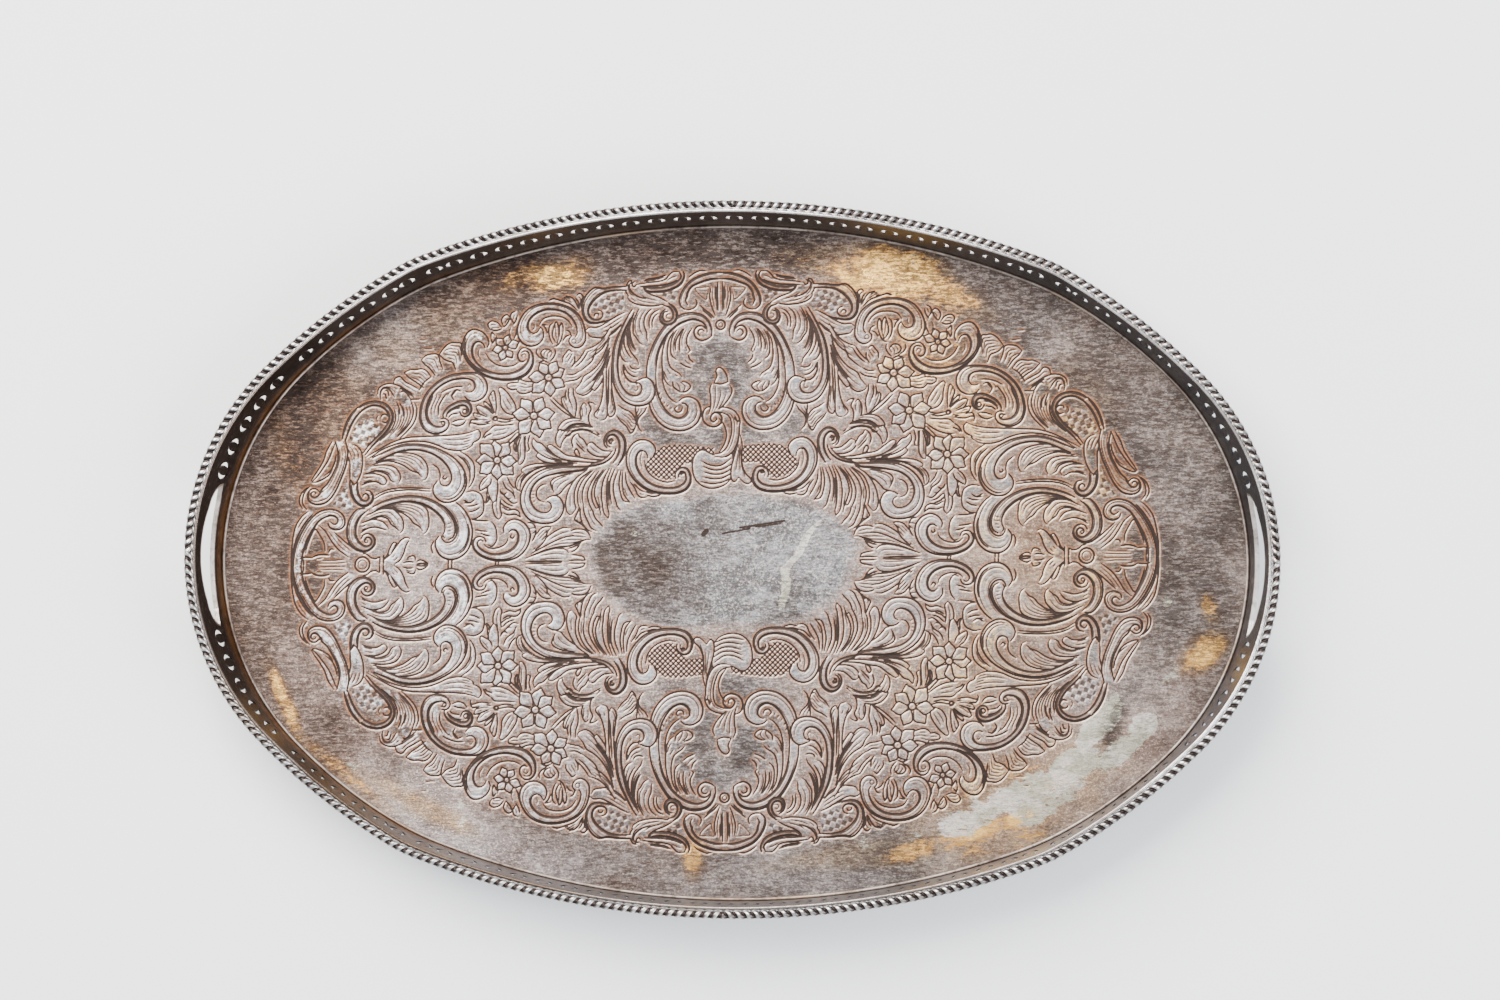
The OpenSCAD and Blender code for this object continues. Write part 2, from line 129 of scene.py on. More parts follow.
# scroll bands: smooth polished ribbons, given as two edges running side by side
BANDS = [
    # crest over the shell
    ([0, 147.7, 6, 147.4, 12, 145.4, 16, 142.8, 19, 139, 20.8, 134.5, 20.4, 131, 18.3, 128.9],
     [0, 144.4, 5, 144, 10, 142.5, 14, 140.8, 16.2, 138, 16.8, 135.6, 17.6, 133.4, 16.8, 131.2]),
    # tall inner S scroll, upper and lower halves
    ([4.7, 115, 4.6, 118.5, 6, 122.6, 9, 125.7, 13.5, 127, 18, 126.8, 22, 125.2, 28, 121, 33, 113.6, 36.2,
      106, 37.6, 100, 38, 95],
     [7, 117, 7.4, 119.6, 9.6, 122.2, 13.6, 123.5, 17, 123, 21.4, 121, 25.4, 117.6, 28.6, 113.6, 31.4,
      107.6, 32.8, 101, 33.3, 95]),
    ([38, 95, 37.9, 88, 36.8, 80, 34.8, 75, 31.4, 70.6, 26.6, 67.5, 20.5, 66.6, 15.6, 68, 12, 71.3, 10.5,
      76.4, 12, 81.3, 15.8, 83.7, 19.4, 83.5, 21.6, 82],
     [33.3, 95, 33.1, 89.5, 31.7, 83.4, 29, 78.2, 25.6, 74.6, 22.2, 73.2, 19.4, 74.1, 17.6, 76.2, 17.4,
      78.8, 18.7, 80.4, 20.3, 80.8]),
    # second S scroll
    ([45, 129.4, 47.6, 125.4, 50.5, 120, 53.3, 114, 54.9, 108, 55.5, 102, 55.6, 97, 55, 92, 53.3, 87.4,
      50.4, 83.2, 46.8, 80.8, 42.6, 80, 38.8, 80.6, 36, 82.4, 34.2, 85.6, 34, 89, 35.2, 92.2, 37.6, 94.1,
      40, 94, 42.4, 93],
     [44, 127.6, 47, 122.4, 49.6, 116.5, 51.3, 110, 52.4, 103.5, 52.5, 98, 52, 93.6, 50.6, 89.8, 48.4, 87,
      46, 85.5, 43.4, 85.3, 41.3, 86.8, 40.6, 89.2, 41.6, 91.3, 43.8, 91.9]),
    # little volute that carries the top leaf
    ([26.5, 132.4, 23.8, 130.4, 22.2, 127.8, 22, 125, 23.2, 122.7, 25.6, 121.2, 28.2, 121.1, 30.1, 122.4,
      30.8, 125, 30, 127.6, 28, 129.2],
     [29, 131.2, 26.2, 130.2, 24.6, 128, 24.2, 126, 24.6, 124.2, 26, 123.1, 27.8, 123, 29, 124.1, 29.3,
      125.8, 28.6, 127.6, 26.6, 128.2]),
    # top edge scroll, left
    ([18.8, 148.4, 18.2, 146.4, 18.8, 144, 20.4, 141.6, 23.4, 139.8, 27.4, 138.5, 32, 138, 36.2, 138.3, 39,
      140.2],
     [20.6, 148, 20, 146.2, 20.6, 144.6, 22.4, 143.2, 25, 141.8, 29, 140.6, 33, 140.2, 37, 140.3, 39.4,
      141]),
    # C scroll round the upper trellis
    ([48, 141.3, 54, 141.2, 60, 140.6, 64.4, 141, 68, 138.4, 70.6, 134, 71, 129.6, 70.2, 126, 68.2, 123.4,
      65.2, 122.5, 61, 123, 57, 124.1, 54, 125.4],
     [48, 139.3, 54, 139.3, 59, 138.4, 63, 136, 66, 133, 67.6, 129.8, 67.4, 127.2, 66, 125.3, 63.8, 124.5,
      61.4, 125, 60.2, 126.9, 61, 128.7, 62.8, 129.4]),
    # arched C scroll
    ([76.4, 116.2, 77.6, 114.6, 77.4, 112.4, 75.6, 110.6, 73, 110.2, 70.6, 111.6, 69.2, 114.4, 69.4, 119,
      70.7, 123.6, 73.2, 127.6, 77, 130.6, 82, 132.6, 87.6, 133.4, 93, 132.9, 97.4, 131.3, 100.8, 128.6,
      103.3, 124.6, 104.6, 120, 104, 115.8, 101.6, 112.6, 98, 111.3, 94.4, 112, 91.8, 114.2, 90.9, 117,
      91.5, 119.8, 92.6, 121.2],
     [74.6, 115.6, 73.6, 117.2, 73.5, 119, 74.6, 122.6, 77.4, 126.4, 81.6, 129, 87, 130, 91.6, 129.4, 95.6,
      127.4, 98.3, 124.4, 99, 121.4, 98.1, 118.9, 96, 117.9, 94, 118.8, 93, 120.5]),
    # C scroll under the sprig
    ([103.6, 109.2, 101.4, 110.5, 98.6, 109.8, 96.7, 107.4, 96.3, 103.4, 97.6, 99.4, 100.4, 96.3, 104.6,
      94.4, 110, 93.8, 116, 94.4, 122, 96.5, 127, 99.8, 130.6, 104, 132.7, 109, 132.7, 113.6, 131.2, 117.6,
      128.8, 120, 126, 120.3, 122.8, 119, 120.4, 116.4, 119.5, 113.4, 120.2, 111.2],
     [102.6, 108.2, 101, 108.8, 99.2, 108.2, 98.6, 106.4, 99, 104.2, 100.8, 101.6, 103.8, 99.2, 108, 97.6,
      113, 97.2, 118.4, 98.2, 123, 100.6, 126.2, 103.8, 127.8, 107.6, 127.7, 111, 126.4, 113.4, 124.4, 114,
      122.4, 112.8, 121.5, 110.8]),
    # C scroll with two volutes, right of the flowers
    ([132, 85.8, 130.2, 84, 127.6, 83.2, 124.8, 83.6, 122, 85.4, 120.4, 88.6, 120.5, 92.2, 122.2, 95.4,
      125.4, 97.6, 129.4, 98.1, 134.4, 97.8, 139.6, 96.8, 144.4, 94.5, 148.2, 91.6, 151.4, 88, 153.8, 83.4,
      155.1, 78.4, 155.2, 74, 153.8, 70.2, 151.4, 67.8, 148, 66.7, 144.8, 67, 142, 68.3, 140.3, 70.7, 140.4,
      73, 142, 74.4, 144.4, 74.3],
     [131.6, 88.4, 129.8, 88, 128, 88.4, 126.8, 90.2, 127.2, 92.8, 129.2, 94.6, 133, 95, 138, 94.4, 142.4,
      92.6, 146.4, 89.6, 149.6, 85.4, 151.4, 80.4, 151.6, 76, 150.2, 72.6, 147.8, 70.8, 146, 70.4, 144.6,
      70.2, 142.8, 70.6, 142.2, 72, 143.4, 73, 145.2, 72.6]),
    # small leaf volute below it
    ([143.1, 75, 143, 77.2, 141, 80, 138, 82, 134.4, 83.4, 131, 83.3, 128.9, 81.6, 128.3, 78.8, 129.4, 76.4,
      131.6, 75.2, 133.6, 76, 134.5, 78],
     [141.4, 75.4, 141, 76.8, 139.4, 78.6, 137, 79.9, 134.2, 80.9, 132, 80.9, 130.6, 79.8, 130.2, 78.2, 131,
      77, 132.2, 76.8, 133, 77.6, 132.8, 78.6]),
    # hood scroll over the side trellis
    ([189.8, 77.8, 187.4, 80.2, 183.4, 82.9, 178.4, 84, 173.6, 83, 170.6, 80.6, 169, 77.4, 169, 74, 170.6,
      70.4, 173.2, 67, 176.6, 63.8, 180, 60.6, 183.4, 56.6],
     [190.2, 72.8, 187.4, 76.6, 184.2, 79.6, 179.8, 81.6, 175.6, 81.2, 172.6, 79.2, 171.2, 76.8, 171, 74.4,
      172.4, 71.2, 175, 67.8, 178.2, 64.8, 181.4, 61.4, 184.4, 57.6]),
    ([187, 81, 190.2, 77.6, 192.6, 73.6, 194.2, 69, 195, 64.8],
     [185, 79.2, 188.4, 75, 190.6, 71, 192.2, 67.2, 193.2, 64.4]),
    # upper big scroll on the side
    ([179.6, 55, 174, 57.6, 168, 60.2, 162, 61.5, 155, 61.4, 148, 59.8, 142, 57, 137.4, 53.9, 133.8, 50,
      131.8, 45.6, 131.3, 41, 132.9, 36.6, 136, 33.2, 140, 31.5, 144, 31.9, 147, 34, 148.6, 37, 148.3, 40,
      146.4, 42.6],
     [178, 53, 173, 55, 167, 57.4, 160.6, 58.6, 154.6, 58.2, 149, 56.4, 144.6, 53.6, 141.2, 50, 139.4, 46.4,
      139.1, 43.2, 140.4, 40.9, 142.6, 40, 144.6, 41, 145.2, 43]),
    ([189.6, 41, 191.4, 43.6, 191.6, 40, 190.9, 36, 189, 32.6, 186.4, 30.5, 183.8, 30, 181.4, 31.1, 179.8,
      33.2, 179.8, 35.8, 181.2, 37.8, 183.4, 38.4],
     [187.6, 42.4, 187.6, 40, 187.4, 37.4, 186.6, 35.2, 185.4, 33.6, 184, 33, 182.6, 33.4, 182, 34.6, 182.4,
      35.8, 183.6, 36.6, 184.8, 36, 185, 35]),
    # lower big scroll on the side
    ([184, 28.8, 187.4, 28.8, 190.4, 26, 192.6, 22, 193.4, 17.4, 192.9, 13, 190.6, 9.1, 187.4, 7, 184, 6.5,
      181, 7.8, 178.9, 10.2, 178.7, 12.8, 180.2, 15.2, 182.6, 16, 184.8, 15.2, 185.9, 13.4],
     [182.6, 28, 186, 25, 188.2, 20.8, 188.7, 16.4, 187.8, 13, 186, 10.8, 184, 9.6, 182.2, 9.6, 180.8, 10.8,
      180.7, 12.6, 181.8, 13.9, 183.4, 13.8, 184.2, 12.6, 183.8, 11.4, 182.8, 11.2]),
    ([136.8, 31.4, 133.6, 28.6, 130.8, 24.8, 129, 20.4, 128.3, 16, 129, 11, 131, 6.6, 134.2, 3.7, 138, 2.4,
      142, 2.8, 145.2, 5, 147, 8.4, 147.3, 11.6, 145.6, 14.4],
     [145, 30.8, 141.6, 28.2, 138.6, 24.6, 136.7, 20.6, 136.1, 17, 136.8, 14, 138.6, 11.9, 140.6, 11.1,
      142.4, 11.4, 143.8, 13, 144.2, 14.6]),
    ([180, 29.6, 175.2, 32.2, 168.6, 34.2, 162, 35.1, 155, 34.6, 149.4, 32.8, 144.4, 30, 140.6, 26.2, 138,
      21.8, 137.2, 17.4, 138.2, 14, 140.4, 12.6],
     [181, 26.2, 176, 29, 169.6, 31.2, 163, 32.2, 157, 31.6, 152.2, 29.8, 147.8, 27, 144.4, 23.6, 142.6, 20,
      142.6, 17, 143.4, 15, 142.6, 13.4]),
    # outer end scroll
    ([203, 21.4, 202.2, 19.4, 200, 18.1, 197.4, 18.2, 195.2, 19.6, 194.3, 22.2, 195.4, 25.6, 198.2, 27.9,
      202.2, 28.7, 206.6, 27.8, 210.4, 25.2, 214, 20.9, 217.2, 15.4, 219.4, 10, 220.6, 4, 220.8, 0],
     [202, 22.4, 200.4, 21.2, 199, 21.2, 198, 22.6, 198.8, 24.4, 201.2, 25.4, 204.6, 24.6, 208, 22.2, 210.2,
      18.8, 212.2, 15, 214.2, 10.8, 215.8, 6.6, 216.6, 3, 216.8, 0]),
    # trellis scroll at the cartouche corner
    ([23.6, 42.4, 23.8, 44.6, 22.4, 46.9, 20, 48, 17.4, 47, 15.9, 44, 15.8, 40.4, 17.6, 37.2, 20.6, 35.4,
      25, 34.5, 30.6, 34.6, 36.4, 35.8, 41.2, 38.4, 45.2, 42.4, 47.9, 47, 48.9, 51.4, 48.5, 56, 46.4, 59.8,
      43.6, 62, 40.6, 62.6, 37.4, 61.8, 35, 59.8, 33.9, 57, 35, 54.2],
     [22, 43, 22, 44.6, 20.6, 45.8, 19, 45.2, 18.4, 43.4, 18.6, 41.2, 20.4, 39.2, 23.4, 38, 27.4, 37.6, 32,
      38.3, 36.4, 40.1, 40, 43, 42.6, 46.8, 43.8, 50.8, 43.6, 54, 42.3, 56.3, 40.8, 56.9, 39.2, 56.3, 38.2,
      54.6, 38, 53]),
    # long scroll under the sprays
    ([53.2, 49.4, 50.6, 53.4, 49.3, 58, 49.5, 62.6, 51.6, 66, 55, 67.6, 58.4, 66.2, 60.3, 63, 60, 60, 58.6,
      58.4],
     [55.8, 50.6, 53.6, 54.2, 52.6, 58, 52.8, 61.4, 53.8, 63.8, 55.8, 65.2, 58, 64.4, 59.1, 62.2, 58.6, 60,
      57, 58.8]),
    ([54.2, 58.4, 55, 55.8, 57, 53, 60.2, 50.8, 65, 49.4, 70, 48.9, 76, 49, 83, 49.2, 90, 48.2, 95.2, 45.8,
      99.3, 42.4, 102.2, 38, 103.4, 33, 102.8, 28, 100.6, 23.8, 97, 21, 92, 20, 87, 20.4, 83.4, 22.6, 81.4,
      26, 81.1, 29.6, 82.6, 32.8, 85, 34.3, 87.8, 33.9, 90, 32.6],
     [56, 57, 58.4, 54.2, 61.6, 52, 66, 50.6, 70, 47.4, 76, 46.4, 82, 45.9, 88, 44.9, 92.4, 43.2, 95.8,
      40.4, 97.8, 37, 98.3, 33.4, 97.2, 29.6, 94.8, 26.9, 91.6, 25.6, 89, 26, 87.4, 28, 87.7, 30.2, 89.4,
      31.4]),
    # scroll beside the palmette, meeting across the axis
    ([112.1, 15.6, 112.3, 18, 110.6, 20.6, 107.6, 22.2, 104.4, 21.9, 101.2, 20, 99, 16.8, 98.5, 13, 99.8,
      8.6, 102.6, 4.8, 106.2, 2.4, 110.4, 1.3, 115.4, 1.2, 120.2, 2.1, 124.6, 4.2, 127.4, 7.2, 128.2, 10.2,
      127, 12.8, 124.6, 13.7, 122.3, 13, 121.3, 11],
     [109.6, 15.8, 108, 16.8, 106, 16.4, 104.9, 14.6, 104.9, 12, 105.9, 9.4, 108.2, 7, 111.6, 5.4, 115.4,
      4.7, 119, 5, 122.4, 6.4, 124.8, 8.2, 125.8, 10, 125.2, 11.6, 123.8, 12, 122.8, 11.2]),
    # S leaf at the end
    ([193.6, 64.6, 192.4, 58, 193.6, 51, 196.2, 44.4, 199.2, 38, 202.6, 33.4, 206, 31.5, 209.8, 31.4, 212.6,
      33, 213.4, 35.8, 212.2, 38.6, 209.6, 39.4, 207.4, 38],
     [198.6, 63.6, 197.4, 57, 198.4, 51.4, 200.8, 46.2, 203.4, 41.8, 206, 39.2, 207.4, 36.4, 209.2, 35, 211,
      35.2, 211.7, 36.6, 210.8, 37.8, 209.6, 37.6, 209.2, 36.8]),
]

# leaves and fluting: two outer veins, how many veins between them
LEAVES = [
    ([1.2, 143, 1.3, 136, 1.2, 128], [4.8, 140, 5.4, 135, 4.2, 129.6, 2.6, 125.4], 2),
    ([10.6, 131, 8, 128.6, 5.4, 126.6, 3.2, 124.2], [9.2, 128.6, 6.6, 126.2, 4.4, 124], 1),
    # fronds inside the first S
    ([14.6, 119.2, 16.4, 116.4, 17.4, 113.4, 17.2, 110.8, 16.3, 109, 15.8, 107.6, 16.8, 106.6],
     [18.6, 119, 20.6, 114.6, 21.1, 110.6, 20.8, 107], 2),
    ([19.4, 118.8, 21.8, 115, 23, 111.6, 23, 108],
     [22.4, 118.4, 24.6, 114.6, 25.4, 110.8, 25.4, 107.2, 24.7, 105, 22.8, 103.2], 1),
    ([24, 117.6, 26.2, 113.6, 27, 109, 27, 104, 25.8, 99.6, 23.8, 97.6, 21.4, 96, 20, 94.2],
     [26.8, 115.6, 28.8, 110.8, 29.7, 106, 29.9, 100, 29.2, 94.6, 27.8, 91.4, 25.6, 89.4], 4),
    ([21, 101.6, 18.4, 99.8, 15.4, 98.6], [16.6, 105.6, 16, 103.4, 14, 101.4], 1),
    ([20.2, 92, 17.6, 91.2, 15.8, 89.6, 16.4, 87.8, 18.6, 86.5, 21.2, 86.5],
     [24.8, 92, 24.6, 90.2, 24, 88.8, 21.2, 86.5], 2),
    # fronds inside the second S
    ([31.4, 129, 34, 127.6, 35.8, 125, 36.3, 122, 36, 119.4],
     [32, 127, 33.8, 125.4, 34.8, 122.6, 34.6, 119.8], 0),
    ([35, 129.6, 37.6, 127, 38.8, 124, 38.8, 120.6, 37.6, 117.4, 37.5, 114.8, 37.1, 112.9],
     [41.4, 129.6, 43.2, 126.4, 44.4, 123, 44.6, 119.4, 44.3, 116.8, 42.8, 114.6, 41.4, 112.4, 39.4, 111],
     4),
    ([44, 128, 46, 121.4, 46, 117, 45.2, 113, 44, 110, 42.8, 108.3],
     [46.4, 123, 47.6, 117, 47.4, 112, 46, 108, 44, 105.2, 42.6, 103.4, 41.8, 100.8], 2),
    ([48.2, 119, 49.2, 114, 48.8, 110, 47.2, 106.6, 45.6, 104.4],
     [50.4, 115, 51, 110.6, 51.2, 107, 50.5, 104.6, 49, 102.8, 47.4, 102.2], 3),
    ([46.4, 100.6, 45.4, 99.2, 43.4, 98.7, 41.4, 99.1], [49.6, 101, 48, 97.6, 45.6, 95.4, 43, 94.6], 1),
    # top leaf
    ([29, 131.8, 34, 131, 40, 131.4, 44, 132.5, 46.6, 134.3, 47.5, 136.2],
     [27, 133, 31, 135.2, 35.6, 137, 38.2, 138.8, 39.2, 140.3], 5),
    ([38, 134.6, 42, 136, 45.4, 138.6, 46.6, 141.6, 45.4, 143.6],
     [46.8, 136.2, 48.2, 138.4, 48.2, 141.2, 46.8, 143.8, 45, 144.3], 2),
    ([22.4, 144, 25.4, 142.6, 30, 141.6, 36, 141.2, 41, 141],
     [20.8, 148.4, 24, 148.4, 26.4, 146.4, 28, 144.6, 31.6, 143.6, 37, 143.1, 42.6, 142.2], 3),
    ([27.6, 146.8, 32, 145.6, 38, 144.8], [29, 145.6, 33, 144.7, 39, 144], 0),
    # leaf under the C scroll
    ([49, 128, 54, 125.6, 58.4, 122.8, 63, 120.6, 67, 120.6, 68.8, 119.4],
     [50.6, 121.6, 54, 118, 58, 115.7, 61, 115, 64.4, 115.3, 66.8, 115.9, 68.2, 118], 6),
    # outward fingers
    ([56, 121, 59.6, 115.4, 62.4, 112.4, 65.6, 110.4, 69.3, 109.1],
     [56.4, 117, 59.4, 111, 62.6, 107.6, 64.5, 106.2, 66, 103.2, 69, 100.4, 72.2, 98], 5),
    ([69.3, 109.1, 70.8, 106.6, 72.6, 104.2, 75, 101.8], [68, 108, 69.8, 105, 71.8, 102.6, 74.4, 100.4], 0),
    ([56.6, 115, 59.4, 107, 62.6, 101.6, 66.2, 98, 70.2, 95.4, 72, 92, 74.6, 88.8],
     [56.4, 108, 58.6, 101.6, 60.8, 97, 64, 92.4, 66.2, 88.6, 68.4, 86.4, 71, 85.6, 74, 86.8, 74.8, 88.4],
     6),
    ([56.4, 106, 58, 101, 59.4, 97, 60.6, 93.6, 62.6, 90.4, 64.8, 88, 66.2, 89.2],
     [56.4, 110, 58.4, 104, 60.8, 98.4, 63.6, 94, 66, 89.6], 2),
    ([56, 100, 56, 90, 55, 82, 54.4, 78.4, 55.4, 75.4, 57.4, 74.5, 58, 76.2],
     [57.2, 100, 57.6, 90, 57.8, 83, 58.6, 78.6], 3),
    ([58.4, 100, 58.8, 90, 58.6, 82, 58.6, 76, 59.8, 73.4, 62, 72.8],
     [60.2, 97, 60.4, 90, 61.2, 84, 62.6, 79.6, 65, 76.4, 64.9, 74.6, 63.2, 73.3], 4),
    ([43, 93, 43, 91], [43.4, 92.8, 43.4, 91.2], 0),
    # leaves in the corner between the scrolls
    ([38.4, 79.4, 39.6, 77, 41.6, 75, 43, 73, 43.2, 70.6, 42.4, 68.4, 40.8, 66.6],
     [44.2, 79.4, 44, 76.6, 43.8, 74], 2),
    ([43.9, 70.6, 44.6, 74, 46.8, 76.8, 50, 78.4, 53, 80.4],
     [44, 70.4, 45, 67.6, 46.6, 66, 47.6, 67.2, 49.2, 69.8, 52, 72.4, 54, 75.4], 4),
    # leaves left of the flowers
    ([64.4, 80.6, 66, 81.7, 68.2, 81.9, 66.8, 78.6, 68, 75.4, 67.8, 71.6, 66, 68.4, 62.6, 65.4],
     [69, 80.4, 70.4, 81.7, 72, 79.4, 72.4, 76, 71.4, 72.4, 69.4, 69.4, 65.6, 66.4, 62.6, 65.4], 4),
    ([75.8, 89.6, 75.6, 86, 74.6, 83, 74.2, 80, 74.6, 76.6, 75, 74.2],
     [79.8, 84.4, 81.3, 85, 82, 83.2, 81, 80.2, 79, 77.4, 75.4, 74], 4),
    ([78, 89.4, 78.4, 86, 77.6, 82], [79.4, 88.6, 79.8, 86, 79.4, 83], 0),
    ([86.6, 84.8, 83, 81.2, 79, 77.6, 75.6, 74.4], [88, 84, 84.6, 80.4, 80.4, 76.8, 76, 74], 0),
    ([72, 73.4, 76, 73.9, 80, 73, 82.6, 70.8, 84, 68.2, 83, 67.4],
     [66, 69.4, 70, 70.6, 75, 70.4, 79.4, 68.4, 81.4, 67.6], 4),
    ([62.6, 64.2, 66, 66.2, 69.4, 67.5, 73.4, 67.6, 77, 66.4, 80.4, 63.6, 82, 60.8, 82.4, 58.6],
     [66, 69, 71, 69.6, 76, 69, 80, 67.4, 83, 68, 84.6, 65.6, 85, 62.6, 84.2, 60, 82.4, 58.6], 3),
    # acanthus leaves out of the long scroll
    ([57, 56.8, 61, 57.3, 64, 59.4, 66.2, 61.4, 68.2, 61.1],
     [58, 54, 63, 54, 67, 55.6, 69.2, 58.6, 68.4, 60.8], 3),
    ([68.6, 59, 70.6, 62.6, 72.6, 64.2, 73.6, 66.1],
     [70, 56.4, 73, 59.4, 75.4, 62.4, 75.6, 64.8, 73.8, 66.1], 2),
    ([75.8, 65, 76.8, 62, 76, 58.6],
     [72.4, 54.4, 73.4, 57, 74.6, 58.1, 75.3, 56.6, 74.4, 54.8, 72.6, 54], 0),
    ([60, 52.4, 68, 52.8, 74, 54, 79.4, 55, 83.4, 57.8, 87.4, 60.4, 89.6, 59.9],
     [62, 51.2, 72, 51.4, 80, 52.6, 85.4, 55, 88.4, 58, 89.4, 59.6], 4),
    ([84, 54, 88.4, 57, 92, 60.8, 94.6, 61.8, 96.5, 63.8],
     [74, 50.6, 84, 51.6, 91, 54.2, 95.4, 57.6, 97.2, 60.6, 96.8, 63.6], 5),
    ([76, 50.2, 85, 50.7, 90.6, 51.6, 94, 53.4, 95.1, 55, 94, 56.2],
     [82, 51.8, 88, 53.2, 92, 55, 93.6, 56.2], 1),
    ([76, 50, 86, 50.6, 94, 50.8, 99.4, 49.8, 102.4, 48.2, 102.8, 46.8, 101.4, 46.2],
     [84, 49.6, 91, 49.2, 96.4, 47.4, 100, 46.4], 2),
    ([96, 47.4, 100, 44.8, 102.8, 41.2, 103.6, 37.6],
     [102.6, 46, 105, 43.4, 106, 40.2, 105.2, 37.8, 103.4, 36.6], 2),
    ([74.6, 42.6, 78.6, 40, 81.2, 37.4, 83, 35.3, 85, 34.8],
     [76, 45.4, 82, 44.6, 86, 43, 87.6, 41, 87, 38.4, 85.8, 36], 4),
    # sprays pointing into the cartouche
    ([49.4, 46, 48.9, 41, 47.6, 37.6, 45.6, 34, 44.6, 32.4],
     [50.6, 47, 51, 41, 50.4, 35.4, 49, 32.6, 47, 30.4], 2),
    ([51.6, 47, 52.6, 41, 52.2, 36.4, 50.6, 31.6, 47.2, 30.3],
     [53, 47, 55.2, 41, 55.4, 35.4, 54.3, 31, 53.4, 28, 51.8, 26.2], 3),
    ([54.6, 48, 57, 42, 57.3, 36, 56.6, 29.6],
     [56.4, 48, 58.6, 41.6, 59, 34, 58.4, 27.4, 57.8, 24.6, 58.2, 22.2], 1),
    ([57.6, 48, 60.6, 41.6, 61.6, 35, 61.2, 29.6, 60.4, 25, 58.2, 22.2],
     [59.4, 47.6, 63.6, 41.6, 65.2, 35.6, 64.2, 31, 62.6, 27, 61.8, 23.8], 3),
    ([60.6, 47.4, 64.6, 42, 66.5, 36.4, 66.2, 31.6, 65, 28.6, 64.2, 27.5, 62.8, 28.4],
     [62.8, 46.8, 66.6, 41, 68.6, 35.6, 68.2, 31, 66.8, 27.4, 65.6, 25.6], 2),
    ([66.2, 26, 64.8, 22.4, 62.2, 19.4, 61, 17.8], [71, 30, 70.4, 25, 68.6, 20.6, 67, 17.4, 64.4, 15.8], 3),
    ([72, 30, 72.6, 25.6, 71.6, 20.4, 69.6, 17, 66.8, 15.4],
     [73, 28, 74.4, 24.4, 75.4, 22, 73.8, 20.4, 71.8, 20.6], 2),
    ([65, 46.6, 69.6, 40.6, 71.4, 35, 71, 30], [66, 47, 71, 42, 73.6, 36, 73.6, 30.6, 72.6, 27], 1),
    ([67, 47, 72.4, 42.6, 75.2, 36.6, 75.4, 31, 74.8, 27.6, 76.6, 24.9],
     [68.6, 47.4, 74.6, 43, 78.4, 36.8, 79.9, 30.6, 79.4, 26.2, 77.8, 24.4, 76.6, 24.9], 3),
    ([31.6, 33.8, 35, 33.2, 38.4, 33.9], [33, 35, 36, 34.8, 39, 35.6], 0),
    ([38.4, 33, 41, 32.8, 43, 34, 44.6, 37.6, 47, 41], [39.4, 35.6, 42, 36.8, 45, 40], 1),
    # small leaves between arch and flower
    ([74.8, 106, 74.9, 103, 76.4, 100.2], [76, 108, 77.8, 109.2, 79.4, 107.4, 80.9, 105.4, 81, 102.6], 3),
    ([85, 110, 84.8, 107.4, 86, 105, 87.6, 103.4],
     [86.4, 107.6, 88.4, 109.6, 91, 109.4, 92.4, 107.6, 91.4, 105.6, 89, 104.4], 3),
    ([91.6, 104.6, 93.4, 105.8, 94.7, 107.8, 94.4, 109.8], [88.4, 102.6, 91, 103.6, 93.8, 102.6], 1),
    ([71.4, 95.6, 74, 93.8, 77, 93.2, 80, 92.6], [72.6, 98, 75.6, 96.4, 79, 96.4], 1),
    # tips above the arch
    ([71.6, 131, 71.6, 134, 70.6, 136.6, 72.4, 138.2, 74, 137], [72.4, 130, 73, 133.6, 74.6, 136], 1),
    ([73, 130.4, 74.4, 133.6, 76.4, 136, 79, 137],
     [73.4, 129.4, 77, 132.6, 81, 134.2, 85.6, 135.6, 88.4, 134.8], 3),
    # three upright petals
    ([80.8, 117.6, 80.8, 120.6, 81.6, 123, 82.6, 121, 82.8, 117, 84, 112.2],
     [81, 117.4, 82, 114, 83.6, 111.6, 85.4, 111], 0),
    ([83, 115.4, 82.9, 119, 83.4, 122, 84.5, 123.7, 85.5, 121.6],
     [84.6, 113, 86.2, 116, 86, 119.4, 84.7, 123.6], 1),
    ([86.2, 123.2, 87.8, 121.4, 88.1, 118, 87.4, 114.6, 86.2, 112.2],
     [89, 118, 90, 120.6, 91.6, 122.4, 88.8, 122], 0),
    # sprig between the C scrolls
    ([105.4, 129.6, 107.6, 128.4, 108, 126, 106.6, 123.4], [104.6, 127.6, 105.2, 125, 106.6, 122.6], 1),
    ([108.4, 126.4, 110, 127.7, 112, 126.6, 112.8, 124.4, 111.8, 121.6],
     [108.4, 126.2, 109.6, 123.6, 111.4, 121.4], 2),
    ([112.6, 121, 114.8, 123.6, 118, 124.5, 119.9, 122.8, 118.8, 120.2],
     [112.8, 120.4, 115.6, 119.6, 118.6, 120.2], 2),
    ([116.4, 117.2, 118, 118.8, 118.4, 116], [116, 116, 117.6, 113.2, 118.4, 115.6], 0),
    # leaves round the flowers
    ([97, 92.8, 100.6, 93.2, 103.6, 94.2, 104.6, 92.4], [97, 88, 100.4, 86.9, 103.4, 87.1, 105.2, 88.6], 3),
    ([104.4, 92.6, 107, 92.6, 109.8, 92, 110, 90.2], [105, 89.2, 107.6, 88.9, 110, 90.2], 1),
    ([105.4, 77.6, 105.8, 81, 107.8, 84.6, 110.4, 88, 113.4, 90.3, 114.7, 89.2],
     [107.6, 75.8, 111, 77.4, 113.2, 80.8, 113.5, 84.6, 113.9, 87, 114.7, 89.2], 5),
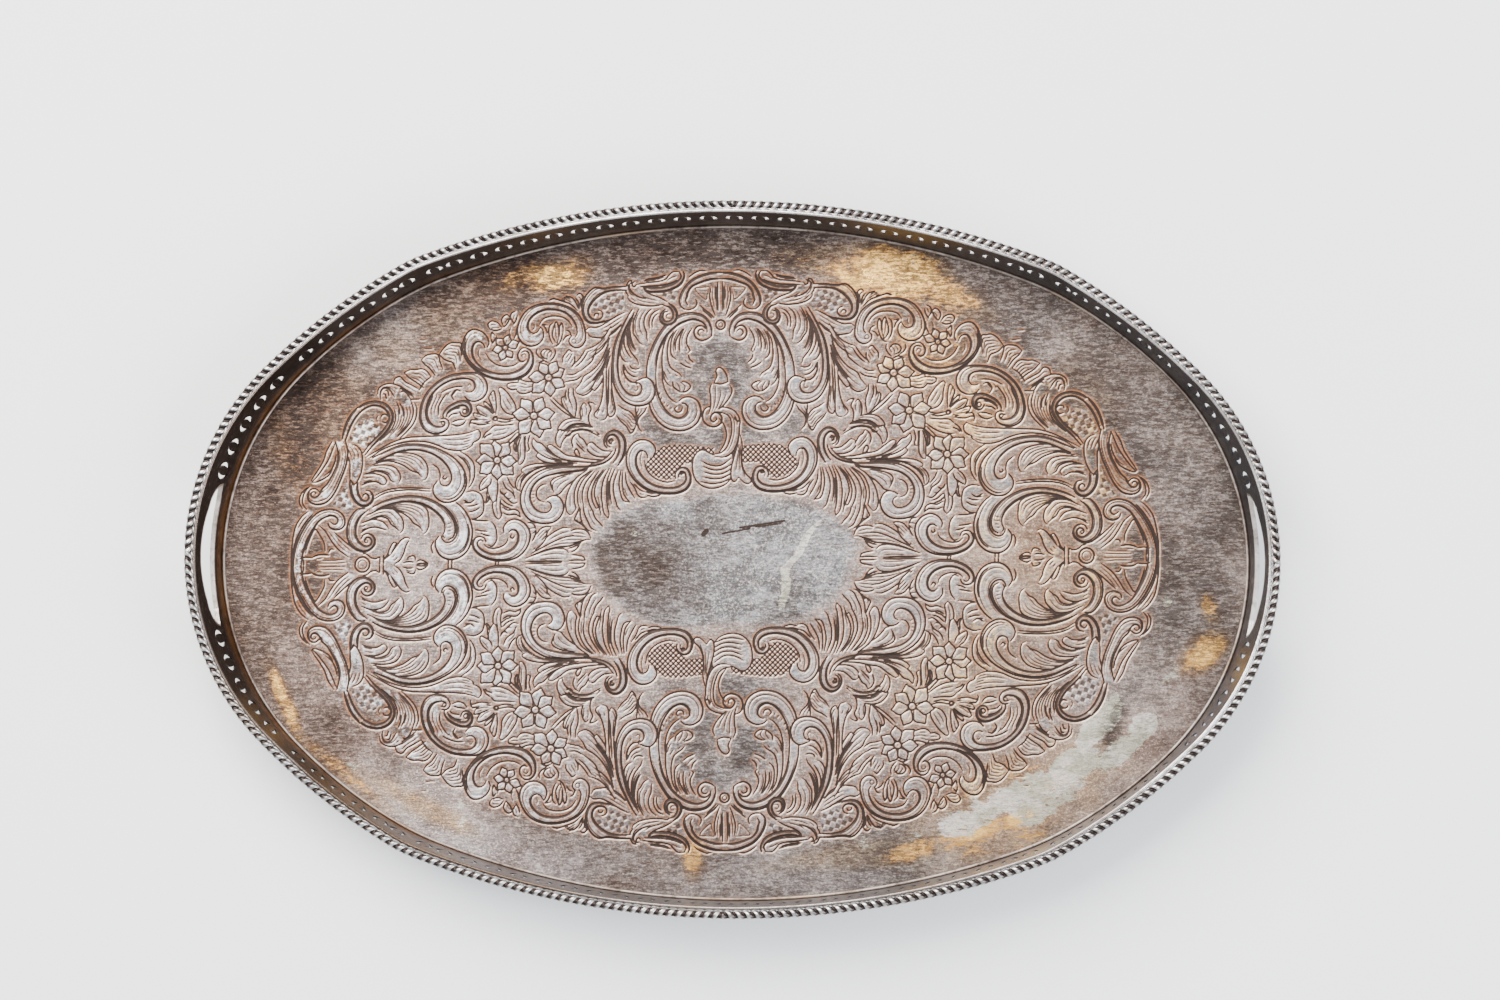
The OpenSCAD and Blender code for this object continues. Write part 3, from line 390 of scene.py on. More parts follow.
    ([115.8, 76.4, 115.6, 80.6, 116, 85.4, 117, 88.6, 118.6, 87.2],
     [116.6, 77, 118, 81, 119.4, 84.6, 118.6, 87], 1),
    ([116.8, 77, 118, 79.6, 120.4, 82.2, 122, 83, 121.8, 81.2], [117.4, 77, 119.2, 79.2, 121.6, 81], 0),
    ([117.2, 76.4, 120.6, 79.4, 124.6, 81.1, 126.1, 80.5],
     [120, 74.9, 123.4, 76, 125.4, 78.4, 126.1, 80.4], 2),
    ([120.6, 75, 124, 76.4, 127.4, 77.1, 127, 75], [118.6, 72.8, 122, 72.2, 125, 73, 127, 75], 2),
    ([119, 71.6, 124, 71, 128, 72, 129.5, 71.4, 129.2, 69.6], [126.4, 73.4, 128.4, 73.6, 129.6, 71.6], 0),
    ([107, 73, 111, 72.2, 115, 72.8], [105.4, 74.6, 110, 73.6, 115, 74.4], 0),
    ([106.6, 71, 112, 70.6, 116.6, 70.4, 119, 68.4], [104.6, 68.6, 109, 65.4, 114, 63.4, 119, 63.2], 5),
    ([119, 68.4, 121.4, 66.6, 123, 64], [118, 66.4, 120.6, 65.4, 122, 64], 0),
    ([98.4, 65.4, 99.3, 61.4, 98.7, 58, 100, 57], [100.6, 65, 100.8, 61, 100.4, 57.6], 1),
    ([101.4, 65, 101, 59, 101, 54, 102.6, 50.8, 104.3, 50.4],
     [102.8, 65, 104.4, 60, 104.4, 55, 104.4, 50.8], 2),
    ([103.4, 65.4, 105.2, 62, 105.4, 58.6, 105.3, 56.8],
     [104.6, 65, 106.4, 61.4, 106.5, 58.4, 105.6, 56.8], 0),
    ([104.8, 67, 108, 63.8, 111, 60.6], [103.8, 65.8, 107, 62.6, 109.6, 60], 0),
    # leaves under the third flower
    ([106.4, 38, 108.6, 40.6, 110.2, 44], [106, 32.4, 107.4, 35.6, 111, 38.4, 112.6, 42], 3),
    ([104.8, 31, 107.6, 30.6, 111.4, 34, 114, 37], [110.4, 36, 111.6, 35.2, 113.4, 35.6, 114, 37.6], 1),
    ([103.4, 23.4, 104.2, 26, 106.6, 27.3, 110, 27, 113, 28.6],
     [103.4, 23.2, 106, 24.8, 109.6, 24.5, 112.6, 25.6], 1),
    ([107, 29, 110, 30, 113, 32.6], [108.6, 27.8, 111.6, 29, 114, 31], 1),
    ([113.6, 33, 114, 28.6, 113.3, 24.4, 114.6, 22.3], [117, 34, 117.9, 29, 116.8, 24.4, 114.8, 22.2], 1),
    ([115.2, 42.4, 115.2, 37, 116, 32.4, 117.4, 31], [119.4, 42.4, 120.4, 38, 119.6, 34, 117.8, 31], 5),
    ([118.2, 43, 119.2, 40.2, 121.6, 38.4, 124.3, 37],
     [120.6, 44.6, 123, 42.6, 124.6, 39.6, 124.4, 37.2], 2),
    ([121, 36.6, 120.8, 33.6, 121.6, 31], [119.6, 34.6, 120, 32, 121.4, 30.6], 0),
    # shell lobes beside the big scrolls
    ([131.6, 36.6, 127.4, 37, 123.6, 34.8, 122.4, 30.2, 123, 25.8, 126, 23.2, 129, 22.8],
     [133, 32.6, 129.8, 31, 127.4, 32.4], 0),
    ([125, 30.4, 128.4, 29.4, 131, 29.4], [124.6, 28.4, 127, 27, 130, 26.4], 0),
    ([118.6, 21.4, 116.6, 18.6, 115.8, 15, 116, 11.6, 118, 8.8, 120.4, 9.4],
     [128.4, 22.4, 124, 21.8, 120, 21.6], 0),
    ([119, 13.8, 121.6, 14.4, 124, 15.4], [120.6, 16.2, 123.6, 16.6, 127, 17.2], 0),
    ([134.6, 57.6, 130.6, 55, 127.8, 51.8, 127, 48, 127.3, 44, 128.8, 40.6, 130.2, 38.8],
     [136, 55.8, 132.4, 52.6, 130, 48.6, 129.4, 44.6, 130, 41], 2),
    # fronds inside the double volute
    ([133, 91, 137, 90.8, 141, 89.6, 144.6, 87.6], [134, 88.6, 136.6, 89.2, 138.6, 86.4, 137.4, 83.8], 1),
    ([141, 87.6, 143.4, 84.6, 145.4, 80.6, 145.6, 76],
     [149.3, 88.6, 148.6, 86, 149.6, 83, 151, 79.6, 151.2, 76, 150.2, 73.2, 148.2, 71.2], 5),
    ([134.2, 79.8, 138, 79, 141.2, 76.6], [135, 77.2, 138.6, 76.6, 140.4, 75], 1),
    ([131.2, 73.6, 133, 71.4, 136, 70.6, 139, 71.6], [132, 74, 135.4, 73.6, 138.6, 72.6], 3),
    # rocaille edge
    ([134, 104, 133.4, 110, 133.6, 113.3, 136, 113.7, 138.4, 113.9, 141, 112.6, 143, 110.4, 144.8, 107.9],
     [136.4, 99.6, 138, 103.4, 140.4, 104.4, 142.6, 105.6, 144.4, 107.6], 5),
    ([143, 100, 144.4, 104, 145.4, 107.7, 148.4, 108.2, 151.4, 107.6, 154, 105.4],
     [147, 97, 149.6, 100.6, 152.4, 103, 154, 105.2], 4),
    ([149, 96.4, 151.6, 99.6, 154, 100.6, 156.8, 100.2, 159.8, 100.2, 163, 98.8],
     [153, 90.6, 156.6, 93.4, 160, 95.6, 163, 98.6], 4),
    ([155.6, 90, 159, 92, 162.6, 94, 165, 96.6, 167.6, 95.8, 168.6, 93.2],
     [158, 85.6, 161.4, 88.4, 165, 90.6, 168.4, 93], 4),
    ([165, 91.4, 169, 93, 173, 92.7, 176, 90.8, 176.8, 87.6],
     [168, 86, 171, 90.2, 174, 90.4, 175.4, 87.4, 175, 84.8], 2),
    ([170.9, 86.6, 171.6, 89.2, 173, 89.4], [172.2, 85, 172.8, 87.4, 174, 87.8], 0),
    # acanthus rising beside the side trellis
    ([160, 84.9, 161.6, 87.6, 163.6, 89.1, 164.9, 88.4],
     [158, 83.2, 156.8, 80, 157, 76, 158.6, 72, 161.8, 68.2, 165.4, 64.8], 0),
    ([160, 84.6, 158.6, 80, 158.8, 76.4, 160.4, 72.4, 163.6, 68.4, 167, 65.4],
     [168.2, 79.6, 167.6, 76, 168, 73, 169.6, 69.6, 172.4, 66.4, 175.6, 63.6], 5),
    ([165.6, 83, 164, 79.6, 163.6, 76], [167, 83.4, 165.8, 80, 165.4, 77], 0),
    # long leaf over the upper scroll
    ([125.2, 68.8, 128.6, 67.4, 134, 66.3, 142, 65.7, 152, 65.4, 162, 64.8, 170, 62.4, 177, 58.8, 183,
      55.4],
     [128.4, 60.2, 132, 58.4, 137, 58, 142, 59, 146, 60.8, 152, 62.6, 160, 63, 168, 61.6, 175, 58.8, 181,
      55], 5),
    ([125.2, 68.8, 123.9, 67, 124.1, 64.6, 125.6, 62.9, 127.8, 62], [127.8, 62, 128, 61, 128.4, 60.2], 0),
    # fronds in the upper big scroll
    ([178, 55.6, 170, 57.2, 162, 57.2, 156.4, 55.8, 153.4, 53.6, 151.6, 50.4, 151.3, 46.6, 152.4, 43.8, 154,
      43.2],
     [180, 51.6, 172, 53.2, 165, 51.4, 160, 48.2, 156.6, 46.8, 154.4, 44.8], 4),
    ([181, 50.6, 175, 51.2, 169, 50.2, 166.2, 47.4, 165.4, 44.4, 166.4, 42],
     [183.4, 47, 178, 48, 172.6, 46.4, 170.4, 43.2, 168.4, 42.2], 4),
    ([184.4, 46.6, 179, 46.8, 174.6, 45.4, 172.6, 43.2, 173.4, 41.3],
     [185.6, 41, 182, 42.4, 178, 42.6, 175, 41.1, 173.6, 41.2], 4),
    ([150, 38.6, 156, 39.2, 163, 39.4, 170, 38.9, 175, 37.5, 178.6, 35.6],
     [150, 37.4, 156, 38, 163, 38.2, 170, 37.6, 175, 36.2, 179, 33.8], 0),
    # fronds in the lower big scroll
    ([180, 27.6, 172, 30.6, 163, 32, 156, 30.8, 152, 28.2, 150.9, 24, 150.8, 20, 151.8, 17.2, 153.4, 15.7],
     [172, 28.2, 165.4, 26.8, 161, 24, 158.6, 21.2, 156, 19.6, 153.8, 17.2], 4),
    ([183, 25.4, 176, 28.4, 170, 28.6, 167.4, 26.8, 164.6, 23.6, 163.8, 20, 164.4, 17.4, 165.7, 16.2],
     [184.4, 21.4, 177, 24.4, 172.4, 23.6, 170.2, 20.6, 167.8, 18.8, 166, 17.2], 4),
    ([185.8, 21.4, 180, 23.2, 175, 22.2, 172.6, 20, 171.5, 18.3],
     [186.2, 16.2, 183, 18.4, 179, 19.3, 175.4, 18.6, 172.8, 17.8], 4),
    # sprig on the long axis
    ([160.4, 13.4, 162.4, 14, 165, 12.6, 167.4, 9.6, 170.4, 5.6, 174, 2.4],
     [161, 12.4, 162.6, 9.4, 163.6, 6, 165.6, 2.4, 168.4, 0.4], 5),
    ([167.4, 11.2, 169, 11.4, 170.8, 8.6, 172, 5.4, 173.6, 3.4], [167.4, 11, 168.6, 8.6, 170.4, 5.2], 1),
    ([157.4, 2.4, 158.2, 4.4, 160.4, 4.2, 162, 3.4], [158.6, 1.4, 161, 1.6, 164, 1], 1),
    ([151, 0.6, 153.4, 2, 155.4, 2.4, 157, 1.4], [151, 0.2, 154, 0.6, 157, 0.4], 0),
    # S leaf
    ([190.4, 62.2, 187.6, 61, 185.6, 58.6, 184.8, 55, 185, 51, 186, 46.8, 187.6, 43.4, 189.6, 41],
     [196.4, 63, 193.4, 58, 191.6, 53, 191.6, 48, 191.6, 43.6], 7),
    ([198.8, 63, 200.6, 58.6, 202.6, 54, 205.4, 49.8, 208.6, 45.6, 211.2, 42.8],
     [200.4, 63.6, 203.2, 59, 205, 54, 207.4, 49.8, 210, 46, 211.6, 43.4], 1),
    ([199.6, 52, 202, 47, 205, 44.6, 208.4, 43, 210.8, 42.6], [198.4, 57, 199.4, 52.6, 201.6, 48], 1),
    ([212.2, 40.6, 214.6, 38, 215.9, 34.6, 215.8, 31.4, 213.8, 28.6],
     [213.6, 40, 216.6, 36.8, 217.6, 32.6, 216, 29], 0),
    # outside the end scroll
    ([213, 27.8, 216.4, 25, 219.4, 20.4, 220.8, 15, 221.6, 9, 222, 4, 222, 0],
     [210.8, 26.4, 214.2, 22.6, 217.4, 17.6, 219.8, 12, 221, 6, 221.4, 0], 1),
    ([188, 6.8, 193, 10.6, 197, 14.2, 200, 17],
     [192.6, 3.8, 198, 8, 201.4, 12.4, 204.6, 17.6, 208, 20.6], 5),
    # palmette on the long axis
    ([67.2, 12, 68.6, 15, 71.4, 16.7, 75.4, 16.7, 78.8, 15.2],
     [67.4, 11.3, 69.8, 11.3, 72.6, 10.2, 75, 9.2, 79, 8, 84, 7.6, 90, 6.4, 98, 3.6], 4),
    ([78.2, 17.4, 81, 17.7, 84.4, 16.4, 88, 14.2, 92, 11, 97, 6.6],
     [76, 13.6, 81, 12.6, 86, 10.6, 92, 7.6, 98, 4.6], 3),
    ([87.4, 18.3, 90.2, 18.4, 93, 17.2, 95.2, 14.4],
     [87.8, 17.6, 89.6, 15.4, 90.4, 12.2, 92.6, 9.2, 96, 6.4], 3),
    ([95.4, 17.2, 96.8, 19.8, 99.8, 20.6], [95.4, 16.8, 96, 13.6, 97.6, 10.8], 2),
    ([73, 8.6, 75, 6.2, 77.4, 5], [72.4, 9.6, 76, 7.6, 79, 6.8], 0),
    ([78.6, 4.6, 80.6, 6.4, 85, 6.9, 90.4, 5.8, 96, 4, 101, 2.2], [82, 0.4, 88, 0.5, 94, 0.5, 101, 0.6], 4),
    ([70.2, 0.8, 71.2, 2.4, 74, 3.2, 77, 3.6], [70.2, 0.6, 74, 0.8, 78.6, 0.6], 0),
]

# separate graver strokes
CUTS = [
    (M, 7, 148.6, 10, 148.8, 13.4, 147.4, 16, 145.4),
    (M, 18.3, 128.9, 15.6, 128.8, 13, 130, 12, 132.2, 12.8, 134.4),
    (F, 5.4, 140.4, 9, 140.1, 12.8, 139.8, 11.2, 137, 7.4, 133.9, 6.6, 136.6, 5.4, 140.4),
    (F, 2.2, 140.4, 1.9, 134, 2, 128),
    (H, 7.6, 118.6, 9.4, 120.2, 11.9, 120, 13.4, 118, 13.4, 115.8, 12.2, 113.8, 9.8, 112.7, 7, 113.4, 5.2,
     114.6),
    (M, 8.4, 117.4, 9.6, 118.5, 11.2, 118, 11.6, 116.4, 10.4, 115),
    (M, 30, 98, 29.9, 93, 28.8, 88, 26.8, 84.2, 24.6, 82, 22.8, 80.9),
    (M, 20, 78.6, 20.8, 76.6, 22.8, 76.2, 24, 77.8, 23, 79.2), (F, 29, 82, 29.4, 80.8),
    (F, 27.2, 80.4, 27.8, 79.2), (F, 25.6, 79, 26, 77.8), (F, 31.2, 87, 31.8, 85.6),
    (F, 30.4, 84.4, 31, 83), (H, 49.9, 101, 49.6, 97.4, 48.4, 94.4, 46.2, 92.3, 43.6, 91.9),
    (F, 43.2, 90.6, 42.6, 89, 43.6, 87.8, 45, 88.8), (F, 47, 89.6, 48, 91.4), (F, 49, 91.8, 49.8, 94),
    (F, 50.4, 95.4, 50.9, 98), (M, 42.9, 142.2, 43.6, 141.2, 44.9, 141.5, 45, 143, 43.8, 143.6),
    (M, 62.2, 126.6, 62.9, 127.7, 64.4, 127.4, 64.7, 126),
    (F, 25.2, 124.8, 26.4, 124.4, 27.6, 125.2, 27, 126.6, 25.6, 126.6),
    (M, 76, 121, 78, 124, 81.4, 126.1, 86, 126.7, 90.2, 125.8, 92, 124.2, 93, 122.4),
    (F, 96, 123, 95.8, 121, 96.6, 119.8), (M, 76.4, 116.2, 77.6, 118.6, 79.2, 119.3),
    (M, 77.6, 116.8, 79.6, 115.8, 81, 113.6),
    (H, 100.6, 104, 102.2, 103.3, 104, 104.4, 104.5, 107, 103.4, 109.2),
    (F, 100, 106, 101, 107.4, 102.4, 106.6, 101.8, 105.2),
    (M, 104, 103, 107, 101.4, 111.4, 101, 115.4, 102, 119, 104.6, 121.4, 108.4),
    (F, 124.4, 110.4, 125, 107.4, 123.4, 104.4),
    (M, 131.4, 116, 131.9, 112, 131, 107.2, 128.2, 102.8, 124, 99.6, 118.6, 97.4),
    (F, 128.4, 91, 129.2, 92.4, 130.4, 91.4), (M, 131, 77.6, 131.4, 79, 132.6, 79),
    (M, 149.2, 96.2, 152.6, 93.6, 155.4, 89.4), (F, 148, 111.2, 150, 111, 153, 111.3),
    (F, 152, 115.6, 155, 115.8), (M, 155, 84.8, 159.6, 84.7),
    (M, 171.4, 76, 172.6, 77.1, 174.4, 76.9, 175, 75.6), (M, 171.2, 74.4, 172.6, 72.9, 174.6, 73.4),
    (F, 176.4, 76.8, 177.3, 75, 176.6, 73.4), (M, 141.4, 44.4, 142.4, 43.4, 143.6, 44.2, 142.9, 45.3),
    (M, 145.2, 43, 145, 46, 146, 49, 149, 51.4),
    (M, 132.8, 46, 132.4, 41.4, 134, 37.4, 137, 34.4, 140.4, 33, 143.6, 33.4),
    (M, 148.2, 12, 149.4, 9, 148.6, 5.6), (M, 130.4, 20, 129.8, 15.6, 130.6, 11, 132.6, 7.2, 135.4, 5),
    (F, 139, 19, 141, 18.7), (F, 139, 17.2, 141, 17), (F, 139.6, 15.4, 141.4, 15.4),
    (F, 139.4, 21, 141.2, 20.6),
    (M, 204.6, 7.2, 205, 11, 207, 15, 209.5, 18.4, 211.6, 15.4, 213.6, 10.4, 214.6, 6.4),
    (H, 202.6, 5, 206, 5.4, 209, 5, 210.8, 4.2), (M, 199.8, 8, 201.8, 8, 202.8, 6.4),
    (M, 211, 3.8, 214.6, 4.2, 217.6, 3.6), (M, 215.7, 3.2, 215.6, 0), (M, 174.2, 5, 174.2, 0),
    (M, 176.2, 4.2, 176.2, 0), (M, 176.4, 4, 178.4, 3, 181, 3.6, 183, 5.2, 185, 5.6),
    (F, 194, 1, 200, 0.9, 208, 0.9), (F, 195, 2.6, 200, 2.3, 207, 2.2), (F, 206, 3.6, 209, 3.4),
    (H, 20.4, 45, 21, 45.4), (M, 24, 41.2, 28, 40.5, 33, 41.9, 36.8, 44.8, 39, 48.4, 39.6, 52.2),
    (F, 41, 56.4, 41.8, 52, 40.8, 47.4),
    (M, 91, 31.1, 93.6, 32, 95, 34.4, 94.6, 37.4, 92.6, 39.6, 90, 40.4), (F, 96, 36.6, 97, 36.8),
    (F, 96.2, 35, 97.4, 35), (F, 96.2, 33.4, 97.4, 33.2), (F, 95.6, 31.8, 96.8, 31.2),
    (M, 106.6, 14, 107.4, 12.6, 108.6, 13.2, 108.2, 14.6),
    (M, 110, 13, 110.6, 10.8, 113, 8.7, 117, 7.6, 120.6, 8.2, 122.6, 10),
    (M, 55.4, 62, 56.4, 63.2, 57.8, 62.6, 57.6, 61, 56.2, 60.4), (M, 138.8, 2.2, 138.8, 0),
    (M, 140.6, 2.4, 140.6, 0), (M, 115, 1.1, 115, 0), (M, 116.4, 1.2, 116.4, 0),
    (H, 77, 66, 78.4, 64.8, 80.2, 65.2), (M, 115, 75.2, 116.6, 75, 117.4, 73.8, 116, 72.8),
    (H, 136.4, 89, 138.4, 86.6), (M, 127.6, 32.2, 129.6, 31, 132.6, 31), (H, 78, 136, 79.4, 137),
    (H, 85.4, 135.9, 88, 135), (M, 104.9, 121, 105.4, 117.6, 106.4, 115.4),
    (F, 108, 121.4, 108.8, 118.6, 108, 116.4), (F, 115.6, 117.4, 115.4, 114.6),
    (M, 60.8, 100, 62.6, 96.2, 65.4, 93),
]

# flowers: middle, radius of the eye, petal tips
FLOWERS = [
    (88.5, 95, 1.9, [80.6, 99, 80.6, 90.4, 87.6, 85.6, 96.6, 87.6, 98.4, 95.4, 92.6, 102.4, 84.4, 103]),
    (96.2, 75.3, 1.9, [91.8, 84.4, 102.4, 83.8, 106.8, 76.6, 103.6, 66.4, 93.4, 64.6, 87.8, 69, 86, 76.8]),
    (115.3, 52.6, 1.8, [109.4, 61.4, 116.6, 62.4, 123.6, 60.8, 125.8, 52.6, 124, 46.4, 115.4, 43, 107.4,
      45.4, 105.8, 52]),
    (111, 110.6, 1.3, [104.2, 113.4, 107.6, 105.6, 113.4, 104.4, 117.4, 109.4, 115.4, 115.4, 109.4, 117]),
]

# (middle x, middle y, radius, weight) of plain rings
RINGS = [
    (0, 120.7, 2.4, H), (0, 120.7, 1.1, F), (185.3, 0, 3.8, H), (185.3, 0, 2.3, F), (75.2, 113.6, 1.1, F),
    (183.3, 12, 0.8, F), (143.1, 72.2, 1.0, F), (20.6, 45.2, 0.7, H), (56.8, 61.8, 0.6, F),
    (116, 73.9, 0.9, M),
]

# trellis grounds: outline, spacing, slope of the lattice (0 for chequered squares)
TRELLIS = [
    ([4, 57.6, 12, 58.6, 22, 59.6, 31, 58.6, 37, 53, 38.6, 50, 37, 46, 32.4, 42.8, 27, 41.6, 24.6, 43, 23,
      47, 19, 49.4, 15, 50, 4, 49], 1.9, 1.0),
    ([49.6, 138.6, 49, 133, 50, 129.4, 55, 126.6, 59.4, 125.2, 60, 129, 63, 131, 66.4, 130.4, 65, 133, 62,
      135.8, 58, 138], 2.6, 0.0),
    ([171.6, 70.6, 175, 66.8, 179.6, 62.6, 184, 60.4, 187.6, 62.6, 191.4, 65, 188.6, 70.4, 184.8, 74.6, 180,
      74.8, 177.4, 72], 2.6, 0.0),
    ([192.8, 46, 194.6, 41, 197.4, 35.6, 200.6, 31, 196, 29.8, 192, 29.4, 190.4, 31, 192.4, 35, 193, 40],
     2.6, 0.0),
    ([23, 133.4, 24.4, 132, 28, 135.4, 34, 137, 30, 137.4, 25, 138.6, 22, 137.6], 2.4, 0.0),
]

# scroll and sprig on the short axis: not mirrored, but turned half round for the lower one
AXIS_LEAVES = [
    ([-0.5, 52.7, -3.6, 53.7, -6.7, 55.2, -9.4, 56.6, -12.2, 55.7, -14.4, 52.7, -15, 48.8, -14.5, 44.5, -13,
      41.2, -9.9, 38.5, -6, 37.3, -1.8, 37.6, 1.9, 39.1, 4.6, 41.7],
     [-0.5, 52.7, 2.8, 53.2, 5.2, 54.8, 5.9, 52.3, 5.3, 48.4, 4.8, 44.8, 4.6, 41.7], 0),
    ([9, 64, 8, 58.5, 6.2, 52.3, 4.9, 46.8, 5, 41.7, 6.8, 40.4, 8.6, 42.7],
     [9.5, 64, 10.5, 58.5, 10.2, 53.1, 10.7, 48, 12.4, 44.1, 15, 41.3, 14.2, 39.3, 11.7, 39.6, 8.6, 42.7],
     0),
    ([-4, 77.4, -0.2, 78.2, 3.7, 77.7, 7.2, 75.7, 9.3, 71.8, 9.1, 67.9, 8.8, 64, 7.7, 59.3, 5.2, 55, 1.1,
      52.9, -3.6, 53.2],
     [-2.6, 75.9, 0.9, 75.2, 3.8, 73.5, 5, 70.2, 5.1, 65.6, 4.1, 61.3, 2.4, 57.4, -0.5, 55, -3.6, 54.5], 2),
    ([-6.6, 74.9, -5.5, 78.8, -5.5, 83.5, -5.9, 87.4, -4.9, 90.4],
     [-1.2, 77.1, 1.4, 79.6, 4.1, 83.1, 5.5, 86.7, 4.5, 89.6], 3),
    ([-3.7, 90.7, -2.2, 94.3, -2.7, 97, -1.3, 98.7, 0.9, 97.8, 2.9, 94.6, 3.4, 91.2],
     [-3.7, 90.7, 0, 90.2, 3.4, 91.2], 0),
]
AXIS_CUTS = [
    (H, -5.5, 78.8, -8.2, 77.7, -9.6, 74.9, -9.3, 71.4, -6.9, 68.9, -3.4, 68.2, -0.6, 69.8, 0.2, 72.4, -1,
     74.7, -3.4, 75.5, -5.2, 74, -5.6, 72, -4.2, 70.7, -2.6, 71.8, -2.8, 73.1),
    (M, 9.3, 71.8, 8.3, 70.9, 7.2, 71.8, 6.6, 73.2),
    (M, -1.2, 72.6, 1.4, 68.7, 2.5, 64, 1.3, 59.3, -1.4, 55.2),
    (M, -10.7, 51.3, -6, 49, -0.5, 48.7, 4.8, 52.1), (M, -9.7, 48.4, -4.5, 46.5, 0.6, 46.8, 5, 49.3),
    (M, -9.3, 45.6, -4.1, 44.3, 0.6, 44.6, 4.8, 46.8), (M, -9.8, 43.1, -4.1, 42, 0.6, 42.4, 4.6, 44.5),
    (M, -10.9, 40.7, -5.3, 39.6, -0.2, 40.1, 3.9, 41.7), (F, 9, 59.3, 8.1, 52.3, 7.3, 46),
    (F, 9.6, 58.5, 9, 51.5, 9.4, 45.2), (F, 10, 56.2, 10.1, 49.1, 12.1, 41.7),
]

CELL = 0.25                      # mm, spacing of the grid the strokes are drawn on
COLS, ROWS = 930, 610            # cells in one quarter of the pattern
CUT_EDGE = 0.14                  # mm, soft edge on each side of a cut


def smooth(flat, step=0.12):
    """Points along a smooth curve through the given points (x, y, x, y, ...)."""
    p = np.array(flat, float).reshape(-1, 2)
    if len(p) < 2:
        return p
    ends = np.vstack([2 * p[0] - p[1], p, 2 * p[-1] - p[-2]])
    out = []
    for a, b, c, d in zip(ends[:-3], ends[1:-2], ends[2:-1], ends[3:]):
        n = max(2, int(np.hypot(*(c - b)) / step))
        t = np.linspace(0, 1, n, endpoint=False)[:, None]
        out.append(0.5 * (2 * b + (c - a) * t + (2 * a - 5 * b + 4 * c - d) * t * t
                          + (3 * b - a - 3 * c + d) * t ** 3))
    out.append(p[-1:])
    return np.vstack(out)


def resample(p, n):
    """The same course with n points at equal steps."""
    s = np.concatenate([[0], np.cumsum(np.hypot(*np.diff(p, axis=0).T))])
    t = np.linspace(0, s[-1], n)
    return np.stack([np.interp(t, s, p[:, 0]), np.interp(t, s, p[:, 1])], 1)


def cut(grid, p, width, depth=1.0, taper=0.35):
    """Press a groove of the given width along the points into the grid (kept as the deepest cut)."""
    rows, cols = grid.shape
    t = np.linspace(0, 1, len(p))
    w = width * (taper + (1 - taper) * np.minimum(1, np.minimum(t, 1 - t) * 5 + 0.1)) / 2 + CUT_EDGE
    reach = int(np.ceil((width / 2 + CUT_EDGE) / CELL)) + 1
    ci = np.round(p[:, 0] / CELL).astype(int)
    ri = np.round(p[:, 1] / CELL).astype(int)
    for di in range(-reach, reach + 1):
        for dr in range(-reach, reach + 1):
            c, r = ci + di, ri + dr
            ok = (c >= 0) & (c < cols) & (r >= 0) & (r < rows)
            d = np.hypot(c * CELL - p[:, 0], r * CELL - p[:, 1])
            v = depth * np.clip(1 - (d / w) ** 2, 0, 1)
            np.maximum.at(grid, (r[ok], c[ok]), v[ok])


def inside(poly, shape):
    """The block of cells inside a closed outline: (rows, columns, mask)."""
    c0, c1 = int(max(0, poly[:, 0].min() / CELL)), int(min(shape[1] - 1, poly[:, 0].max() / CELL + 2))
    r0, r1 = int(max(0, poly[:, 1].min() / CELL)), int(min(shape[0] - 1, poly[:, 1].max() / CELL + 2))
    xs, ys = np.arange(c0, c1) * CELL, np.arange(r0, r1) * CELL
    mask = np.zeros((len(ys), len(xs)), bool)
    nxt = np.roll(poly, -1, axis=0)
    for j, y in enumerate(ys):
        up = (poly[:, 1] <= y) != (nxt[:, 1] <= y)
        a, b = poly[up], nxt[up]
        hits = a[:, 0] + (y - a[:, 1]) / (b[:, 1] - a[:, 1]) * (b[:, 0] - a[:, 0])
        mask[j] = (hits[None, :] > xs[:, None]).sum(1) % 2 == 1
    return slice(r0, r1), slice(c0, c1), mask


def blur(a, mm):
    """Soften a grid by about the given distance, mirrored at its edges."""
    k = np.exp(-0.5 * (np.arange(-3 * mm, 3 * mm + CELL, CELL) / mm) ** 2)
    k /= k.sum()
    m = len(k) // 2
    for axis in (0, 1):
        pad = [(0, 0), (0, 0)]
        pad[axis] = (m, m)
        q = np.pad(a, pad, mode="reflect")
        n = a.shape[axis]
        a = sum(w * np.take(q, np.arange(i, i + n), axis=axis) for i, w in enumerate(k))
    return a


def petal(cx, cy, tx, ty):
    """Outline of one petal from the eye of a flower to its pointed tip."""
    d = np.array([tx - cx, ty - cy])
    n = np.array([-d[1], d[0]])
    shape = [(0.22, 0.06), (0.42, 0.22), (0.62, 0.33), (0.8, 0.24), (0.93, 0.1), (1.05, 0.0), (0.93, -0.12),
             (0.78, -0.27), (0.6, -0.3), (0.42, -0.2), (0.22, -0.06)]
    return smooth([v for a, b in shape for v in (np.array([cx, cy]) + a * d + b * n)])


